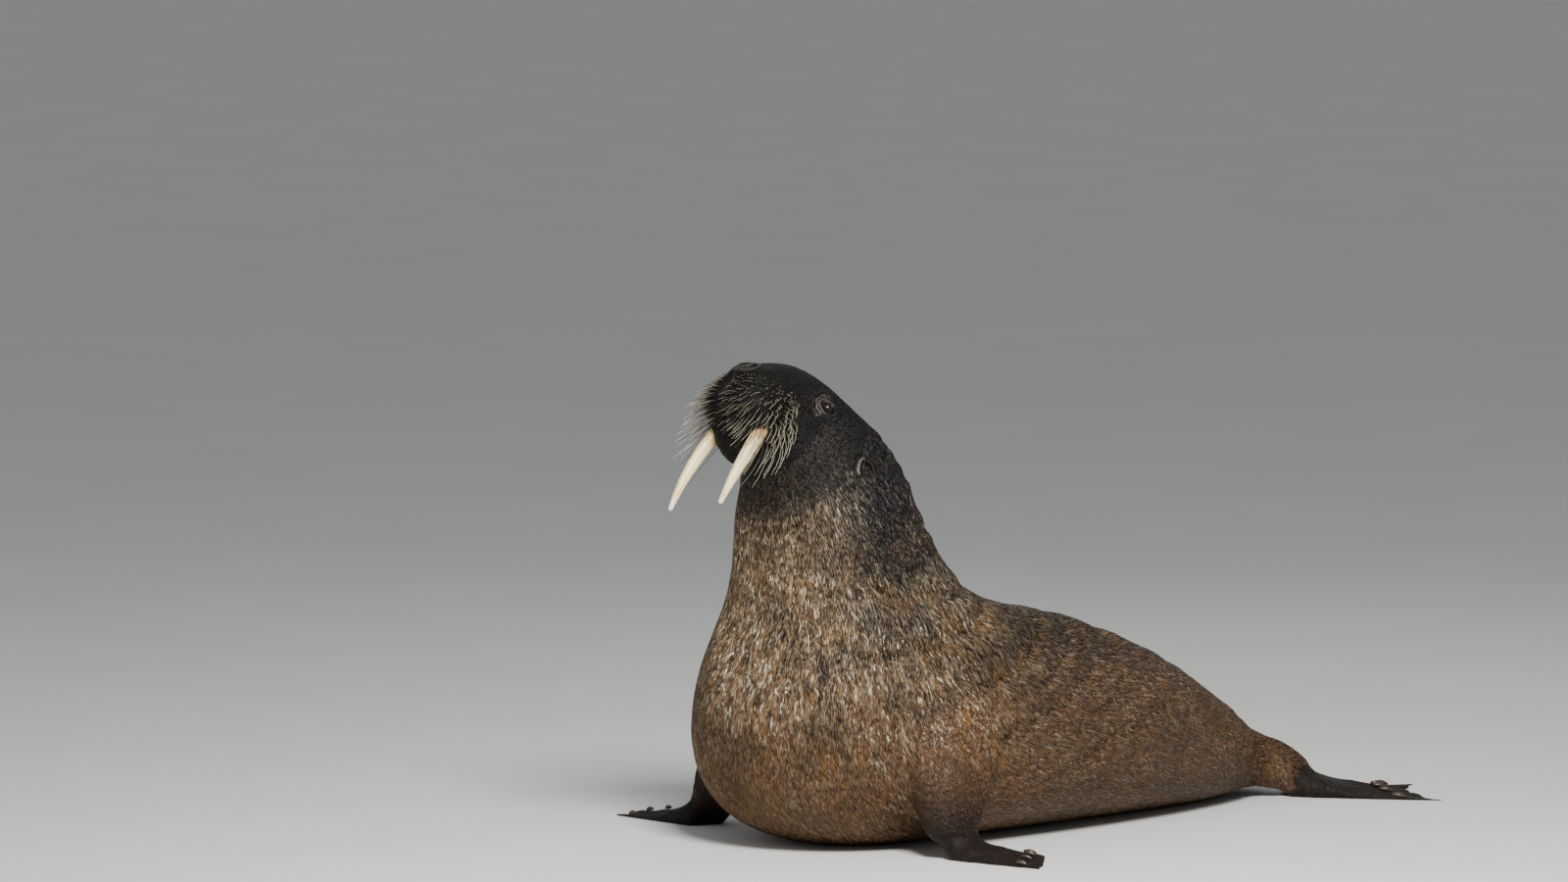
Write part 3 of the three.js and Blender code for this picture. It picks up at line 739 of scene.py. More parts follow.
HAND = PaddlePlan(290, (1.0, 0.95, 0.89, 0.82, 0.74), 50, 120, 84, 15, 5, 0.05, 0.8, (17, 8, 6))
FOOT = PaddlePlan(400, (1.0, 0.87, 0.83, 0.86, 0.97), 60, 172, 104, 12, 5, 0.06, 0.74, (22, 9, 7))
LIMBS = (
    LimbPlan(
        "fore_flipper",
        HAND,
        ((236, -232, 414), (308, -216, 318), (362, -184, 212), (402, -146, 108), (430, -130, 44)),
        ((110, 96), (148, 116), (122, 96), (92, 70), (70, 46)),
        {Side.LEFT: (412, -138, -24), Side.RIGHT: (418, -104, -14)},
    ),
    LimbPlan(
        "hind_flipper",
        FOOT,
        ((60, -1380, 130), (112, -1490, 100), (150, -1572, 72), (184, -1622, 46)),
        ((60, 60), (82, 72), (74, 58), (52, 40)),
        {Side.LEFT: (152, -1584, -52), Side.RIGHT: (154, -1580, -38)},
    ),
)
FLIPPERS = tuple((limb, side) for limb in LIMBS for side in Side)


@dataclass
class TuskPlan:
    """The middle lines of the two tusks in the head's frame: out of the upper lip, then back towards their tips."""

    roots: dict[Side, Row] = field(
        default_factory=lambda: {Side.LEFT: (66.0, -126.0, -46.0), Side.RIGHT: (60.0, -126.0, -46.0)}
    )
    lengths: dict[Side, float] = field(default_factory=lambda: {Side.LEFT: 266.0, Side.RIGHT: 302.0})
    lean: float = 16.0
    curl: float = 21.0
    spread: float = 7.5
    toe_in: float = 11.5
    spans: int = 6

    def line(self, side: Side, at: Array) -> Array:
        """Places along a tusk's middle, at shares of its length."""
        start = np.array(self.roots[side])
        corners = [start.copy()]
        for i in range(self.spans):
            lean = math.radians(self.lean - self.curl * i / self.spans)
            spread = math.radians(self.spread - self.toe_in * i / self.spans)
            step = np.array([math.sin(spread), -math.sin(lean), -math.cos(lean)])
            start = start + step * self.lengths[side] / self.spans
            corners.append(start)
        return smooth_through(np.array(corners), at * self.spans) * [side.value, 1, 1]


@dataclass
class FleshForms:
    """The trunk, head, arms, hands and feet as plain closed forms, ready to be fused into one skin."""

    trunk: TrunkPlan
    round_trunk: int = 64
    round_arm: int = 40
    arm_rings: int = 18
    trunk_step: float = 30 * MM
    least_thick: float = 27.0
    under_floor: float = 3 * MM

    def build(self) -> list[Piece]:
        """Models every form.

        Returns:
            The objects.
        """
        made = [self.trunk_form(), *self.head_forms()]
        for limb, side in FLIPPERS:
            made += [self.arm_form(limb, side), self.paddle_form(limb, side)]
        return made

    def trunk_form(self) -> Piece:
        """Lofts the trunk from tail to muzzle."""
        length = self.trunk.run[-1]
        at = np.interp(np.linspace(0, length, int(length / self.trunk_step)), self.trunk.run, self.trunk.fine)
        turn = np.linspace(0, 2 * math.pi, self.round_trunk, endpoint=False)
        rings = [self.trunk.points(np.full(len(turn), s), turn) for s in at]
        return loft("trunk_form", rings)

    def head_forms(self) -> list[Piece]:
        """Shapes the nose, chin, brows and the two cushions of the upper lip."""
        made = []
        for name, row in (("nose_form", HEAD.nose), ("chin_form", HEAD.chin)):
            piece = ball(name, 40, 24)
            move_points(piece, HEAD.out(points_of(piece) * (np.array(row[3:]) - SUNK / MM) + row[:3]))
            made.append(piece)
        for side in Side:
            mirror = np.array([side.value, 1, 1])
            brow = ball(f"brow_form_{side.label}", 32, 20)
            row = HEAD.brow
            places = points_of(brow) * (np.array(row[3:]) - SUNK / MM) + row[:3]
            move_points(brow, HEAD.out(places * mirror))
            cushion = ball(f"cushion_form_{side.label}", 48, 32)
            way = points_of(cushion)
            rise = np.arcsin(np.clip(way[:, 2], -1, 1))
            turn = np.arctan2(way[:, 0], -way[:, 1])
            places, _ = HEAD.cushion_point(turn, rise)
            move_points(cushion, HEAD.out(places * mirror))
            for piece in (brow, cushion):
                turn_outwards(piece)
                made.append(piece)
        return made

    def arm_form(self, limb: LimbPlan, side: Side) -> Piece:
        """Lofts the upper part of one flipper."""
        turn = np.linspace(0, 2 * math.pi, self.round_arm, endpoint=False)
        rings, _, _ = limb.rings(side, np.linspace(0, 1, self.arm_rings), turn)
        return loft(f"{limb.name}_arm_{side.label}", list(rings))

    def paddle_form(self, limb: LimbPlan, side: Side) -> Piece:
        """Shapes one hand or foot from a grid and gives it its depth, a little thicker than it is to be."""
        nothing_selected()
        bpy.ops.mesh.primitive_grid_add(x_subdivisions=30, y_subdivisions=30, size=2, location=(0, 0, 0))
        piece = bpy.context.object
        piece.name = f"{limb.name}_paddle_{side.label}"
        flat = points_of(piece)
        spin, origin = limb.frame(side)
        across = np.clip(-np.cos((flat[:, 1] + 1) * math.pi / 2), -1, 1)
        local = limb.paddle.top(across, (flat[:, 0] + 1) / 2)
        local[:, 0] -= SUNK / MM * ease(local[:, 0], 0, 60)
        local[:, 1] *= 1 - SUNK / MM / limb.paddle.tip_half
        local[:, 2] = np.maximum(local[:, 2] - SUNK / MM, self.least_thick)
        move_points(piece, local * MM @ spin.T + origin)
        with editing(piece):
            bpy.ops.mesh.select_all(action="SELECT")
            bpy.ops.mesh.extrude_region_move()
        places = points_of(piece)
        places[chosen_corners(piece), 2] = -self.under_floor
        move_points(piece, places)
        turn_outwards(piece)
        return piece


@dataclass
class BodyMap:
    """Tells, for any point near the body, where it lies on the trunk or a flipper and which way the hair runs."""

    trunk: TrunkPlan
    spread: float = 0.27
    neck_from: float = 13.4
    darkens: tuple[float, float] = (0.1, 0.36)

    def __post_init__(self) -> None:
        """Samples the trunk and the flippers into two search trees."""
        stations = np.linspace(0, self.trunk.last, 300)
        turns = np.linspace(-math.pi, math.pi, 97)[:-1]
        self.at, self.turn = (v.ravel() for v in np.meshgrid(stations, turns, indexing="ij"))
        self.samples = self.trunk.points(self.at, self.turn)
        nudge = 0.05
        ahead = np.minimum(self.at + nudge, self.trunk.last)
        behind = np.maximum(self.at - nudge, 0)
        reach = self.trunk.points(ahead, self.turn) - self.trunk.points(behind, self.turn)
        self.forward = reach / (ahead - behind)[:, None]
        aside = self.trunk.points(self.at, self.turn + nudge)
        self.sideways = (aside - self.samples) / nudge
        self.tree = self.plant(self.samples)
        sampled = [take(*flipper) for flipper in FLIPPERS for take in (self.arm_samples, self.paddle_samples)]
        limb_samples, self.limb_ways, self.limb_runs = (np.concatenate(parts) for parts in zip(*sampled))
        self.limb_tree = self.plant(limb_samples)

    @staticmethod
    def plant(points: Array) -> KDTree:
        """A search tree of points."""
        tree = KDTree(len(points))
        for i, point in enumerate(points):
            tree.insert(point, i)
        tree.balance()
        return tree

    def arm_samples(self, limb: LimbPlan, side: Side) -> tuple[Array, Array, Array]:
        """Points of a flipper's upper part with the way that its hair runs and its run from the root."""
        turn = np.linspace(0, 2 * math.pi, 24, endpoint=False)
        points, places, along = limb.rings(side, np.linspace(0.2, 1, 26), turn)
        run = np.concatenate([[0], np.cumsum(np.linalg.norm(np.diff(places, axis=0), axis=1))])
        return points.reshape(-1, 3), np.repeat(along, len(turn), axis=0), np.repeat(run, len(turn))

    def paddle_samples(self, limb: LimbPlan, side: Side) -> tuple[Array, Array, Array]:
        """Points of a hand's or foot's back and sole with the way along its digits and its run from the root."""
        across, share = (v.ravel() for v in np.meshgrid(np.linspace(-0.98, 0.98, 24), np.linspace(0, 1, 26)))
        spin, origin = limb.frame(side)
        local = limb.paddle.top(across, share)
        under = local * [1, 1, 0]
        points = np.vstack([local, under]) * MM @ spin.T + origin
        ways = np.tile(spin[:, 0], (len(points), 1))
        return points, ways, np.tile(local[:, 0] * MM, 2) + 0.4

    def locate(self, points: Array) -> dict[str, Array]:
        """Where points lie on the body.

        Args:
            points: the points, one a row.

        Returns:
            The trunk's station and angle, the share that belongs to a flipper, the way the hair runs, the lie, which
            is a place in a space whose third axis runs along the hair, how dark and bare the flipper is there, and
            how near the place is to where a flipper leaves the trunk.
        """
        found = (np.array([tree.find(p)[1:] for p in points]).T for tree in (self.tree, self.limb_tree))
        (index, away), (limb_index, limb_away) = ((where.astype(int), apart) for where, apart in found)
        offset, forward, sideways = points - self.samples[index], self.forward[index], self.sideways[index]
        steps = (np.sum(offset * way, axis=1) / np.maximum(np.sum(way**2, axis=1), 1e-8) for way in (forward, sideways))
        further, round_it = (np.clip(step, -most, most) for step, most in zip(steps, (0.1, 0.05)))
        station, angle = np.clip(self.at[index] + further, 0, self.trunk.last), self.turn[index] + round_it
        limb = ease(away - limb_away, -0.012, 0.024)
        way = unit(-unit(forward) * (1 - limb)[:, None] + self.limb_ways[limb_index] * limb[:, None])
        run = self.trunk.distance_along(station)
        trunk_lie = np.stack([np.cos(angle) * self.spread, np.sin(angle) * self.spread, run], axis=1)
        limb_lie = np.stack([points[:, 0], points[:, 1] + points[:, 2], 3.0 + self.limb_runs[limb_index]], axis=1)
        lie = np.where((limb > 0.5)[:, None], limb_lie, trunk_lie)
        dark = limb * ease(self.limb_runs[limb_index], *self.darkens)
        join = bell(away - limb_away, 0.03)
        return {"station": station, "angle": angle, "limb": limb, "way": way, "lie": lie, "dark": dark, "join": join}


@dataclass
class EyeSetting:
    """The opening between the lids, in millimetres on the plane that the eye looks out of."""

    width: float = 33.0
    upper: float = 12.4
    lower: float = 10.4

    def __post_init__(self) -> None:
        """Finds the plane's axes in the head's frame."""
        self.look = unit(np.array(HEAD.look))
        self.level = unit(np.cross([0.0, 0.0, 1.0], self.look))
        self.up = np.cross(self.look, self.level)
        self.centre = np.array(HEAD.eye)

    def flat(self, places: Array) -> tuple[Array, Array, Array]:
        """Places of the head's frame as how far back, up and out they are from the eye's middle."""
        offset = places - self.centre
        return offset @ self.level, offset @ self.up, offset @ self.look

    def edge(self, back: Array, up: Array) -> tuple[Array, Array, Array]:
        """How far outside the lids' opening places are, with the slope of that distance.

        Args:
            back: how far back they are.
            up: how far up.

        Returns:
            The distance in millimetres, negative inside, and its slope backwards and upwards.
        """
        tall = np.where(up > 0, self.upper, self.lower)
        measure = (2 * back / self.width) ** 2 + np.abs(up) / tall
        slope_back, slope_up = 8 * back / self.width**2, np.sign(up) / tall
        slope = np.sqrt(slope_back**2 + slope_up**2)
        return (measure - 1) / slope, slope_back / slope, slope_up / slope


@dataclass
class Skin:
    """The one skin over all the flesh: fused, refined towards the face, then carved with folds, lids and lips."""

    trunk: TrunkPlan
    body: BodyMap
    eye: EyeSetting
    tusks: TuskPlan
    voxel: float = 14.5 * MM
    shoulder_rounds: int = 40
    nostril: tuple[tuple[float, float], ...] = ((0.26, 0.3), (0.5, 0.52), (0.66, 0.86), (0.62, 1.16))
    mouth: tuple[tuple[float, float], ...] = ((112, -84), (84, -82), (58, -76), (34, -66))
    ear: tuple[float, float] = (-112.0, -35.0)
    ear_radius: float = 22.0
    ear_bend: float = 0.4
    folds: tuple[tuple[tuple[float, float, float, float], ...], ...] = (
        ((14.9, -34, 0, 0), (14.0, -22, 8, 26), (13.0, -14, 12, 28), (11.9, -8, 9, 26), (11.0, -6, 0, 20)),
        ((16.0, 20, 0, 0), (15.8, 50, 8, 17), (15.9, 88, 9, 19), (15.7, 130, 7, 17), (16.0, 165, 0, 0)),
        ((15.2, 30, 0, 0), (14.9, 62, 8, 20), (15.0, 96, 9, 22), (14.8, 128, 7, 20), (15.1, 158, 0, 0)),
        ((13.9, 22, 0, 0), (13.7, 58, 7, 24), (13.8, 92, 8, 26), (13.6, 125, 6, 22), (13.9, 158, 0, 0)),
        ((12.6, -2, 0, 0), (12.2, 30, 7, 26), (12.0, 64, 6, 26), (12.1, 84, 0, 0)),
        ((16.9, -30, 0, 0), (16.2, -52, 6, 15), (15.9, -84, 5, 16), (16.2, -118, 5, 15), (16.8, -142, 0, 0)),
        ((15.4, -34, 0, 0), (14.9, -58, 3, 22), (14.6, -90, 3, 24), (14.9, -124, 3, 22), (15.2, -140, 0, 0)),
        ((14.6, 205, 0, 0), (13.6, 196, 11, 24), (12.6, 190, 12, 26), (11.6, 186, 0, 20)),
        ((9.6, -20, 0, 0), (9.2, 14, 9, 34), (9.0, 46, 7, 34), (9.2, 76, 0, 0)),
        ((9.7, 200, 0, 0), (9.2, 170, 8, 34), (9.0, 136, 7, 34), (9.2, 106, 0, 0)),
        ((11.9, -42, 0, 0), (11.4, -16, 9, 30), (11.2, 14, 10, 32), (11.4, 46, 7, 30), (11.9, 74, 0, 0)),
        ((11.9, 222, 0, 0), (11.4, 196, 9, 30), (11.2, 166, 10, 32), (11.4, 134, 7, 30), (11.9, 106, 0, 0)),
        ((8.3, 8, 0, 0), (7.8, 48, 9, 38), (7.6, 92, 10, 40), (7.9, 134, 9, 38), (8.2, 168, 0, 0)),
        ((6.6, 24, 0, 0), (6.2, 60, 7, 36), (6.0, 98, 8, 38), (6.3, 140, 0, 0)),
        ((8.5, -28, 0, 0), (8.0, -6, 9, 30), (7.4, 16, 8, 32), (6.8, 30, 0, 0)),
        ((8.4, 208, 0, 0), (8.0, 188, 9, 30), (7.3, 164, 8, 32), (6.8, 148, 0, 0)),
        ((6.6, -22, 0, 0), (5.9, 2, 7, 30), (5.2, 22, 6, 30), (4.7, 34, 0, 0)),
        ((6.5, 202, 0, 0), (5.9, 176, 7, 30), (5.2, 158, 6, 30), (4.7, 144, 0, 0)),
        ((4.8, 30, 0, 0), (4.5, 64, 6, 32), (4.4, 104, 6, 32), (4.7, 146, 0, 0)),
        ((3.2, -10, 0, 0), (2.8, 28, 6, 26), (2.7, 70, 6, 26), (2.8, 112, 6, 26), (3.1, 180, 0, 0)),
        ((1.9, 10, 0, 0), (1.7, 60, 5, 16), (1.7, 120, 5, 16), (1.9, 170, 0, 0)),
    )

    def build(self, forms: list[Piece]) -> Piece:
        """Fuses the forms and carves the skin.

        Args:
            forms: the closed forms of flesh.

        Returns:
            The finished skin, with the values that its material reads.
        """
        skin = join(forms, "hide")
        apply(skin, "REMESH", mode="VOXEL", voxel_size=self.voxel)
        self.keep_largest(skin)
        apply(skin, "SMOOTH", factor=0.5, iterations=5)
        self.soften_shoulders(skin)
        self.refine(skin)
        self.thin_paddles(skin)
        self.carve_face(skin)
        self.carve_body(skin)
        self.keep_values(skin)
        return skin

    @staticmethod
    def keep_largest(skin: Piece) -> None:
        """Drops any crumb that fusing leaves: all that isn't joined to the back."""
        height = points_of(skin)[:, 2]
        with editing(skin, np.arange(len(height)) == np.argmax(height)):
            bpy.ops.mesh.select_linked()
            bpy.ops.mesh.select_all(action="INVERT")
            bpy.ops.mesh.delete(type="VERT")

    def soften_shoulders(self, skin: Piece) -> None:
        """Smooths the skin where each flipper leaves the trunk."""
        with editing(skin, self.body.locate(points_of(skin))["join"] > 0.3):
            bpy.ops.mesh.vertices_smooth(factor=0.5, repeat=self.shoulder_rounds)

    def refine(self, skin: Piece) -> None:
        """Divides the faces where the form is finer: flippers and neck, then face, then lids, lips and nostrils."""
        self.divide(skin, self.near_hands_and_neck(skin), 3)
        self.divide(skin, self.near_face(skin), 3)
        self.divide(skin, self.near_details(skin), 2)

    def near_hands_and_neck(self, skin: Piece) -> Array:
        """Which faces belong to the head, the neck or the back of a hand or foot."""
        middle = rows_of(skin.data.polygons, "center")
        local = middle - HEAD.shift
        raised = (local[:, 2] > 0.6) | ((local[:, 2] > 0.42) & (local[:, 1] < 0.12))
        hands = np.zeros(len(middle), dtype=bool)
        for limb, side in FLIPPERS:
            spin, origin = limb.frame(side)
            place = (middle - origin) @ spin / MM
            reach = (place[:, 0] > -10) & (place[:, 0] < limb.paddle.length + 8)
            wide = np.abs(place[:, 1]) < limb.paddle.tip_half + 8
            hands |= reach & wide & (place[:, 2] > 4) & (place[:, 2] < 110)
        return raised | hands

    def near_face(self, skin: Piece) -> Array:
        """Which faces belong to the muzzle, the cheeks or the ears."""
        place = HEAD.into(rows_of(skin.data.polygons, "center"))
        ear = HEAD.into(self.trunk.flank(*self.ear)[None])[0]
        mirrored = np.abs(place) * [1, 0, 0] + place * [0, 1, 1]
        return (place[:, 1] < 46) & (place[:, 2] > -200) | (np.linalg.norm(mirrored - ear, axis=1) < 42)

    def near_details(self, skin: Piece) -> Array:
        """Which faces lie by the lids, the nostrils, the mouth, the muzzle's cleft or the ear."""
        place = HEAD.into(rows_of(skin.data.polygons, "center"))
        place[:, 0] = np.abs(place[:, 0])
        back, up, out = self.eye.flat(place)
        near = (np.hypot(back, up) < 36) & (out > 0) | (place[:, 0] < 9) & (place[:, 1] < -160) & (place[:, 2] < 20)
        lines = (self.nostril_line(), self.mouth_line(), self.ear_line(), self.tusk_line(Side.LEFT))
        for line, reach in zip(lines, (17, 13, 15, 34)):
            near |= nearest_on_line(place, line)[0] < reach
        return near

    @staticmethod
    def divide(skin: Piece, chosen: Array, soften: int) -> None:
        """Divides the chosen faces once and smooths them.

        Args:
            skin: the object.
            chosen: True for each face to divide.
            soften: how many times the new corners are smoothed.
        """
        with editing(skin, chosen, "FACE"):
            bpy.ops.mesh.subdivide(number_cuts=1, smoothness=0)
            bpy.ops.mesh.vertices_smooth(factor=0.5, repeat=soften)

    def nostril_line(self) -> Array:
        """The left nostril's crescent in the head's frame."""
        turns = smooth_through(np.array(self.nostril), np.linspace(0, 3, 13))
        way = heading(turns[:, 0], turns[:, 1])
        return np.array(HEAD.nose[:3]) + way * (np.array(HEAD.nose[3:]) - SUNK / MM)

    def tusk_line(self, side: Side) -> Array:
        """The middle of a tusk in the head's frame, mirrored to the left side."""
        return self.tusks.line(side, np.linspace(0, 1, 13)) * [side.value, 1, 1]

    def mouth_line(self) -> Array:
        """The left half of the mouth's line in the head's frame."""
        corners = np.array([self.trunk.flank(ahead, rise) for ahead, rise in self.mouth])
        return smooth_through(HEAD.into(corners), np.linspace(0, len(corners) - 1, 13))

    def ear_line(self) -> Array:
        """The left ear's fold in the head's frame: a crescent round the front of its pit."""
        turn = np.radians(np.linspace(-110, 110, 13))
        ahead = self.ear[0] + self.ear_radius * self.ear_bend * np.cos(turn)
        rise = self.ear[1] + self.ear_radius * np.sin(turn)
        corners = [self.trunk.flank(a, r) for a, r in zip(ahead, rise)]
        return HEAD.into(np.array(corners))

    def thin_paddles(self, skin: Piece) -> None:
        """Brings the hands and feet down to their true thickness."""
        points = points_of(skin)
        for limb, side in FLIPPERS:
            paddle = limb.paddle
            spin, origin = limb.frame(side)
            local = (points - origin) @ spin / MM
            widening = np.clip(local[:, 0] / paddle.length, 0, 1) ** 0.8
            half = paddle.root_half + (paddle.tip_half - paddle.root_half) * widening
            across = np.clip(local[:, 1] / half, -0.99, 0.99)
            share = np.clip(local[:, 0] / paddle.lobe(across)[0], 0, 1)
            true_top = paddle.top(across, share)[:, 2] - SUNK / MM
            inside = (local[:, 0] > 20) & (local[:, 0] < paddle.length + 15)
            inside &= (np.abs(local[:, 1]) < paddle.tip_half + 15) & (local[:, 2] < 60)
            lower = np.maximum(true_top, 5.0) / np.maximum(true_top, FleshForms.least_thick)
            points[:, 2] *= np.where(inside, lower, 1.0)
        move_points(skin, points)

    def carve_face(self, skin: Piece) -> None:
        """Carves the cleft of the muzzle, the cheek's crease, the nostrils, the mouth, the ears and the lids."""
        points, outward = points_of(skin), normals_of(skin)
        place = HEAD.into(points)
        side = np.where(place[:, 0] < 0, -1.0, 1.0)
        place[:, 0] *= side
        across, back, up = place.T
        front = ease(back, -150, -185)
        cleft = bell(across, 3.8) * front * ease(up, 30, 4) * ease(up, -150, -120)
        rise = -11 * cleft - 5 * bell(across, 17) * front * ease(up, 20, -10)
        cushion = (place - HEAD.cushion[:3]) / (np.array(HEAD.cushion[3:]) - SUNK / MM)
        cushion[:, :2] /= 1 - HEAD.cushion_lower * np.clip(cushion[:, 2:3], -1, 1)
        from_cushion = (np.linalg.norm(cushion, axis=1) - 1) * 85
        outer = ease(back, -150, -105) * ease(up, -150, -110)
        seam = bell(from_cushion - 5, 11) * outer * ease(back, 20, -30)
        shade = bell(from_cushion - 16, 18) * outer * ease(back, 30, -25) * ease(up, 70, 30)
        tusk = np.where(side > 0, *(nearest_on_line(place, self.tusk_line(which))[0] for which in Side))
        nostril, along = nearest_on_line(place, self.nostril_line())
        slot = 4.2 * np.sqrt(np.clip(np.sin(math.pi * np.clip(along, 0.03, 0.97)), 0.05, 1))
        mouth, run = nearest_on_line(place, self.mouth_line())
        ear, arc = nearest_on_line(place, self.ear_line())
        fold = bell(ear, 2.8) * np.sqrt(np.clip(np.sin(math.pi * arc), 0, 1))
        from_pit = np.linalg.norm(place - HEAD.into(self.trunk.flank(*self.ear)[None])[0], axis=1)
        rise += 6 * bell(tusk - 28, 6.5) - 5 * bell(tusk - 17, 5) - 10 * seam * ease(up, 60, 20)
        rise += 2.4 * bell(nostril - 9.5, 4) - 15 * bell(nostril, slot)
        rise += 2.2 * bell(mouth - 9, 4.5) * (1 - run) - 7 * bell(mouth, 3.6) * (1 - 0.6 * run)
        rise += 5.5 * fold - 9 * bell(from_pit, 5.5)
        # the nostril, mouth, cleft, seam, shade, gum and ear pit masks carry painted shade, and the ear's fold and the
        # nostril's rim carry painted highlight
        self.slots = {
            "nostril": bell(nostril, slot * 1.1),
            "rim": bell(nostril - 9.5, 3.4),
            "mouth": bell(mouth, 4.2),
            "cleft": cleft,
            "seam": seam,
            "shade": shade,
            "gum": bell(tusk - 16, 6),
            "ear": bell(from_pit, 6.0),
            "ear_fold": fold,
            "by_ear": ease(from_pit, 30, 20),
        }
        mirror = np.stack([side, np.ones_like(side), np.ones_like(side)], axis=1)
        place = self.carve_lids(place + outward @ HEAD.turn * mirror * rise[:, None])
        move_points(skin, HEAD.out(place * mirror))

    def carve_lids(self, place: Array) -> Array:
        """Domes the lids over the eye, opens them and rings them with folds.

        Args:
            place: places of the head's frame, mirrored to its left side.

        Returns:
            The places with the lids carved.
        """
        back, up, out = self.eye.flat(place)
        apart = np.hypot(back, up)
        near = (apart < 60) & (out > -2)
        edge, slope_back, slope_up = self.eye.edge(back, up)
        snap = np.where(near & (np.abs(edge) < 0.9), np.sign(edge) * 0.06 - edge, 0.0)
        back, up = back + slope_back * snap, up + slope_up * snap
        apart = np.hypot(back, up)
        edge = edge + snap
        radius = HEAD.eye_radius
        dome = np.sqrt(np.maximum(0, (radius + 3.4) ** 2 - apart**2))
        outside = out + np.log1p(np.exp(np.clip((dome - out) / 1.6, -30, 30))) * 1.6
        grow = ease(apart, 30, 14)
        lid = out * (1 - grow) + outside * grow
        lid += 1.0 * bell(edge - 1.3, 1.2) * grow
        rings = Noise(5).at(np.stack([back, up, 0 * up], axis=1) / 14)
        broken = ease(Noise(6).at(np.stack([back, up, 0 * up], axis=1) / 11), -0.5, 0.35)
        lower = 0.55 + 0.45 * ease(up, 4, -6)
        around = ease(apart, 54, 38) * ease(edge, 1.5, 4)
        # ridge marks the painted highlight: over the upper lid and along the folds round the eye, strongest towards the
        # front
        ridge = 0.9 * bell(edge - 2.6, 2.2) * ease(up, 5, 11)
        for at, deep, width in ((4.6, 2.6, 1.6), (11.0, 1.6, 2.0), (18.5, 3.2, 3.0)):
            gap = edge - at * (1 + 0.22 * rings) - 0.8 * rings
            strong = around * lower * (1 - (1 - broken) * ease(np.full(len(gap), at), 4, 16))
            lid -= deep * bell(gap, width) * strong
            lid += 0.5 * deep * bell(gap - 3.4, width) * strong
            ridge = np.maximum(ridge, bell(gap - 3.2, 1.6) * strong * (0.2 + 0.8 * ease(back, 8, -14)))
        behind = np.sqrt(np.maximum(0, radius**2 - apart**2)) - 3.5
        lid = np.where(edge < 0, np.minimum(lid, behind), lid)
        out = np.where(near, lid, out)
        slots = {"lid": bell(edge, 2.4), "socket": ease(apart, 34, 16), "by_eye": ease(apart, 48, 36), "ring": ridge}
        self.slots.update({name: np.where(near, share, 0.0) for name, share in slots.items()})
        return self.eye.centre + np.stack([back, up, out], axis=1) @ [self.eye.level, self.eye.up, self.eye.look]

    def carve_body(self, skin: Piece) -> None:
        """Carves the long folds and the fine creases of the body, and lays it flat on the floor."""
        points, outward = points_of(skin), normals_of(skin)
        where = self.body.locate(points)
        rise = np.zeros(len(points))
        trunk_share = 1 - where["limb"]
        self.fold_depth = np.zeros(len(points))
        for fold in self.folds:
            rows = smooth_through(np.array(fold), np.linspace(0, len(fold) - 1, 6 * len(fold)))
            line = self.trunk.points(rows[:, 0], np.radians(rows[:, 1]))
            away, share = nearest_on_line(points, line)
            at = share * (len(rows) - 1)
            deep = np.interp(at, np.arange(len(rows)), np.maximum(rows[:, 2], 0))
            wide = np.interp(at, np.arange(len(rows)), np.maximum(rows[:, 3], 8))
            groove = bell(away, wide * MM * 0.55)
            rise -= deep * groove
            rise += 0.45 * deep * bell(away - wide * MM * 1.25, wide * MM * 0.7)
            # the folds' depth, kept for the painted shade laid in them
            self.fold_depth = np.maximum(self.fold_depth, groove * deep / 12)
        lie, noise = where["lie"], Noise(11)
        raised = ease(points[:, 2], 0.02, 0.12)
        face = ease(where["station"], 16.4, 18.2)
        warp = noise.layered(lie * [6, 6, 6], 2)[:, None] * [0, 0, 0.02]
        ridges = 1 - np.abs(noise.layered((lie + warp) * [14, 14, 34] + 3.1, 2)) * 2
        creases = 1 - np.abs(noise.layered((lie + warp) * [34, 34, 78] + 9.7, 2)) * 2
        swells = noise.layered(points * 7.5, 2)
        rise += (2.6 * swells + 1.5 * ridges * (1 - 0.7 * face)) * trunk_share * raised * (1 - 0.75 * face)
        rise += 0.8 * creases * (1 - 0.45 * face) * raised * (1 - 0.5 * where["limb"])
        rise += 1.1 * noise.layered(points * [60, 60, 60], 2) * where["limb"] * raised
        place = HEAD.into(points)
        muzzle = ease(place[:, 1], -70, -110) * face
        rise += 0.7 * noise.at(points * 95) * muzzle
        keep = 1 - np.clip(self.slots["socket"] * 1.3 + self.slots["nostril"], 0, 1)
        carved = points + outward * (rise * keep * MM)[:, None]
        move_points(skin, np.maximum(carved, [-np.inf, -np.inf, 0.0]))

    def keep_values(self, skin: Piece) -> None:
        """Notes the lie of the hair, the lid and flipper masks, and the masks of painted shade and painted highlight.
        """
        self.where, slots = self.body.locate(points_of(skin)), self.slots
        note(skin, "lie", self.where["lie"])
        note(skin, "flipper", self.where["dark"])
        # painted shade in the hollows: nostrils, mouth, cleft, the crease and cheek behind the cushion, the ear's pit,
        # round the tusks' roots and in the body's folds
        hollow = np.maximum.reduce([slots["nostril"], slots["mouth"], 0.75 * slots["cleft"], 0.8 * slots["seam"]])
        hollow = np.maximum.reduce([hollow, slots["ear"], slots["gum"], 0.6 * slots["shade"], 0.5 * self.fold_depth])
        note(skin, "hollow", np.clip(hollow, 0, 1))
        note(skin, "lid", slots["lid"])
        # painted highlight on the ear's fold, the ridges round the eye and the nostril's rim
        note(skin, "pale", np.maximum.reduce([slots["ear_fold"], 0.7 * slots["ring"], 0.3 * slots["rim"]]))


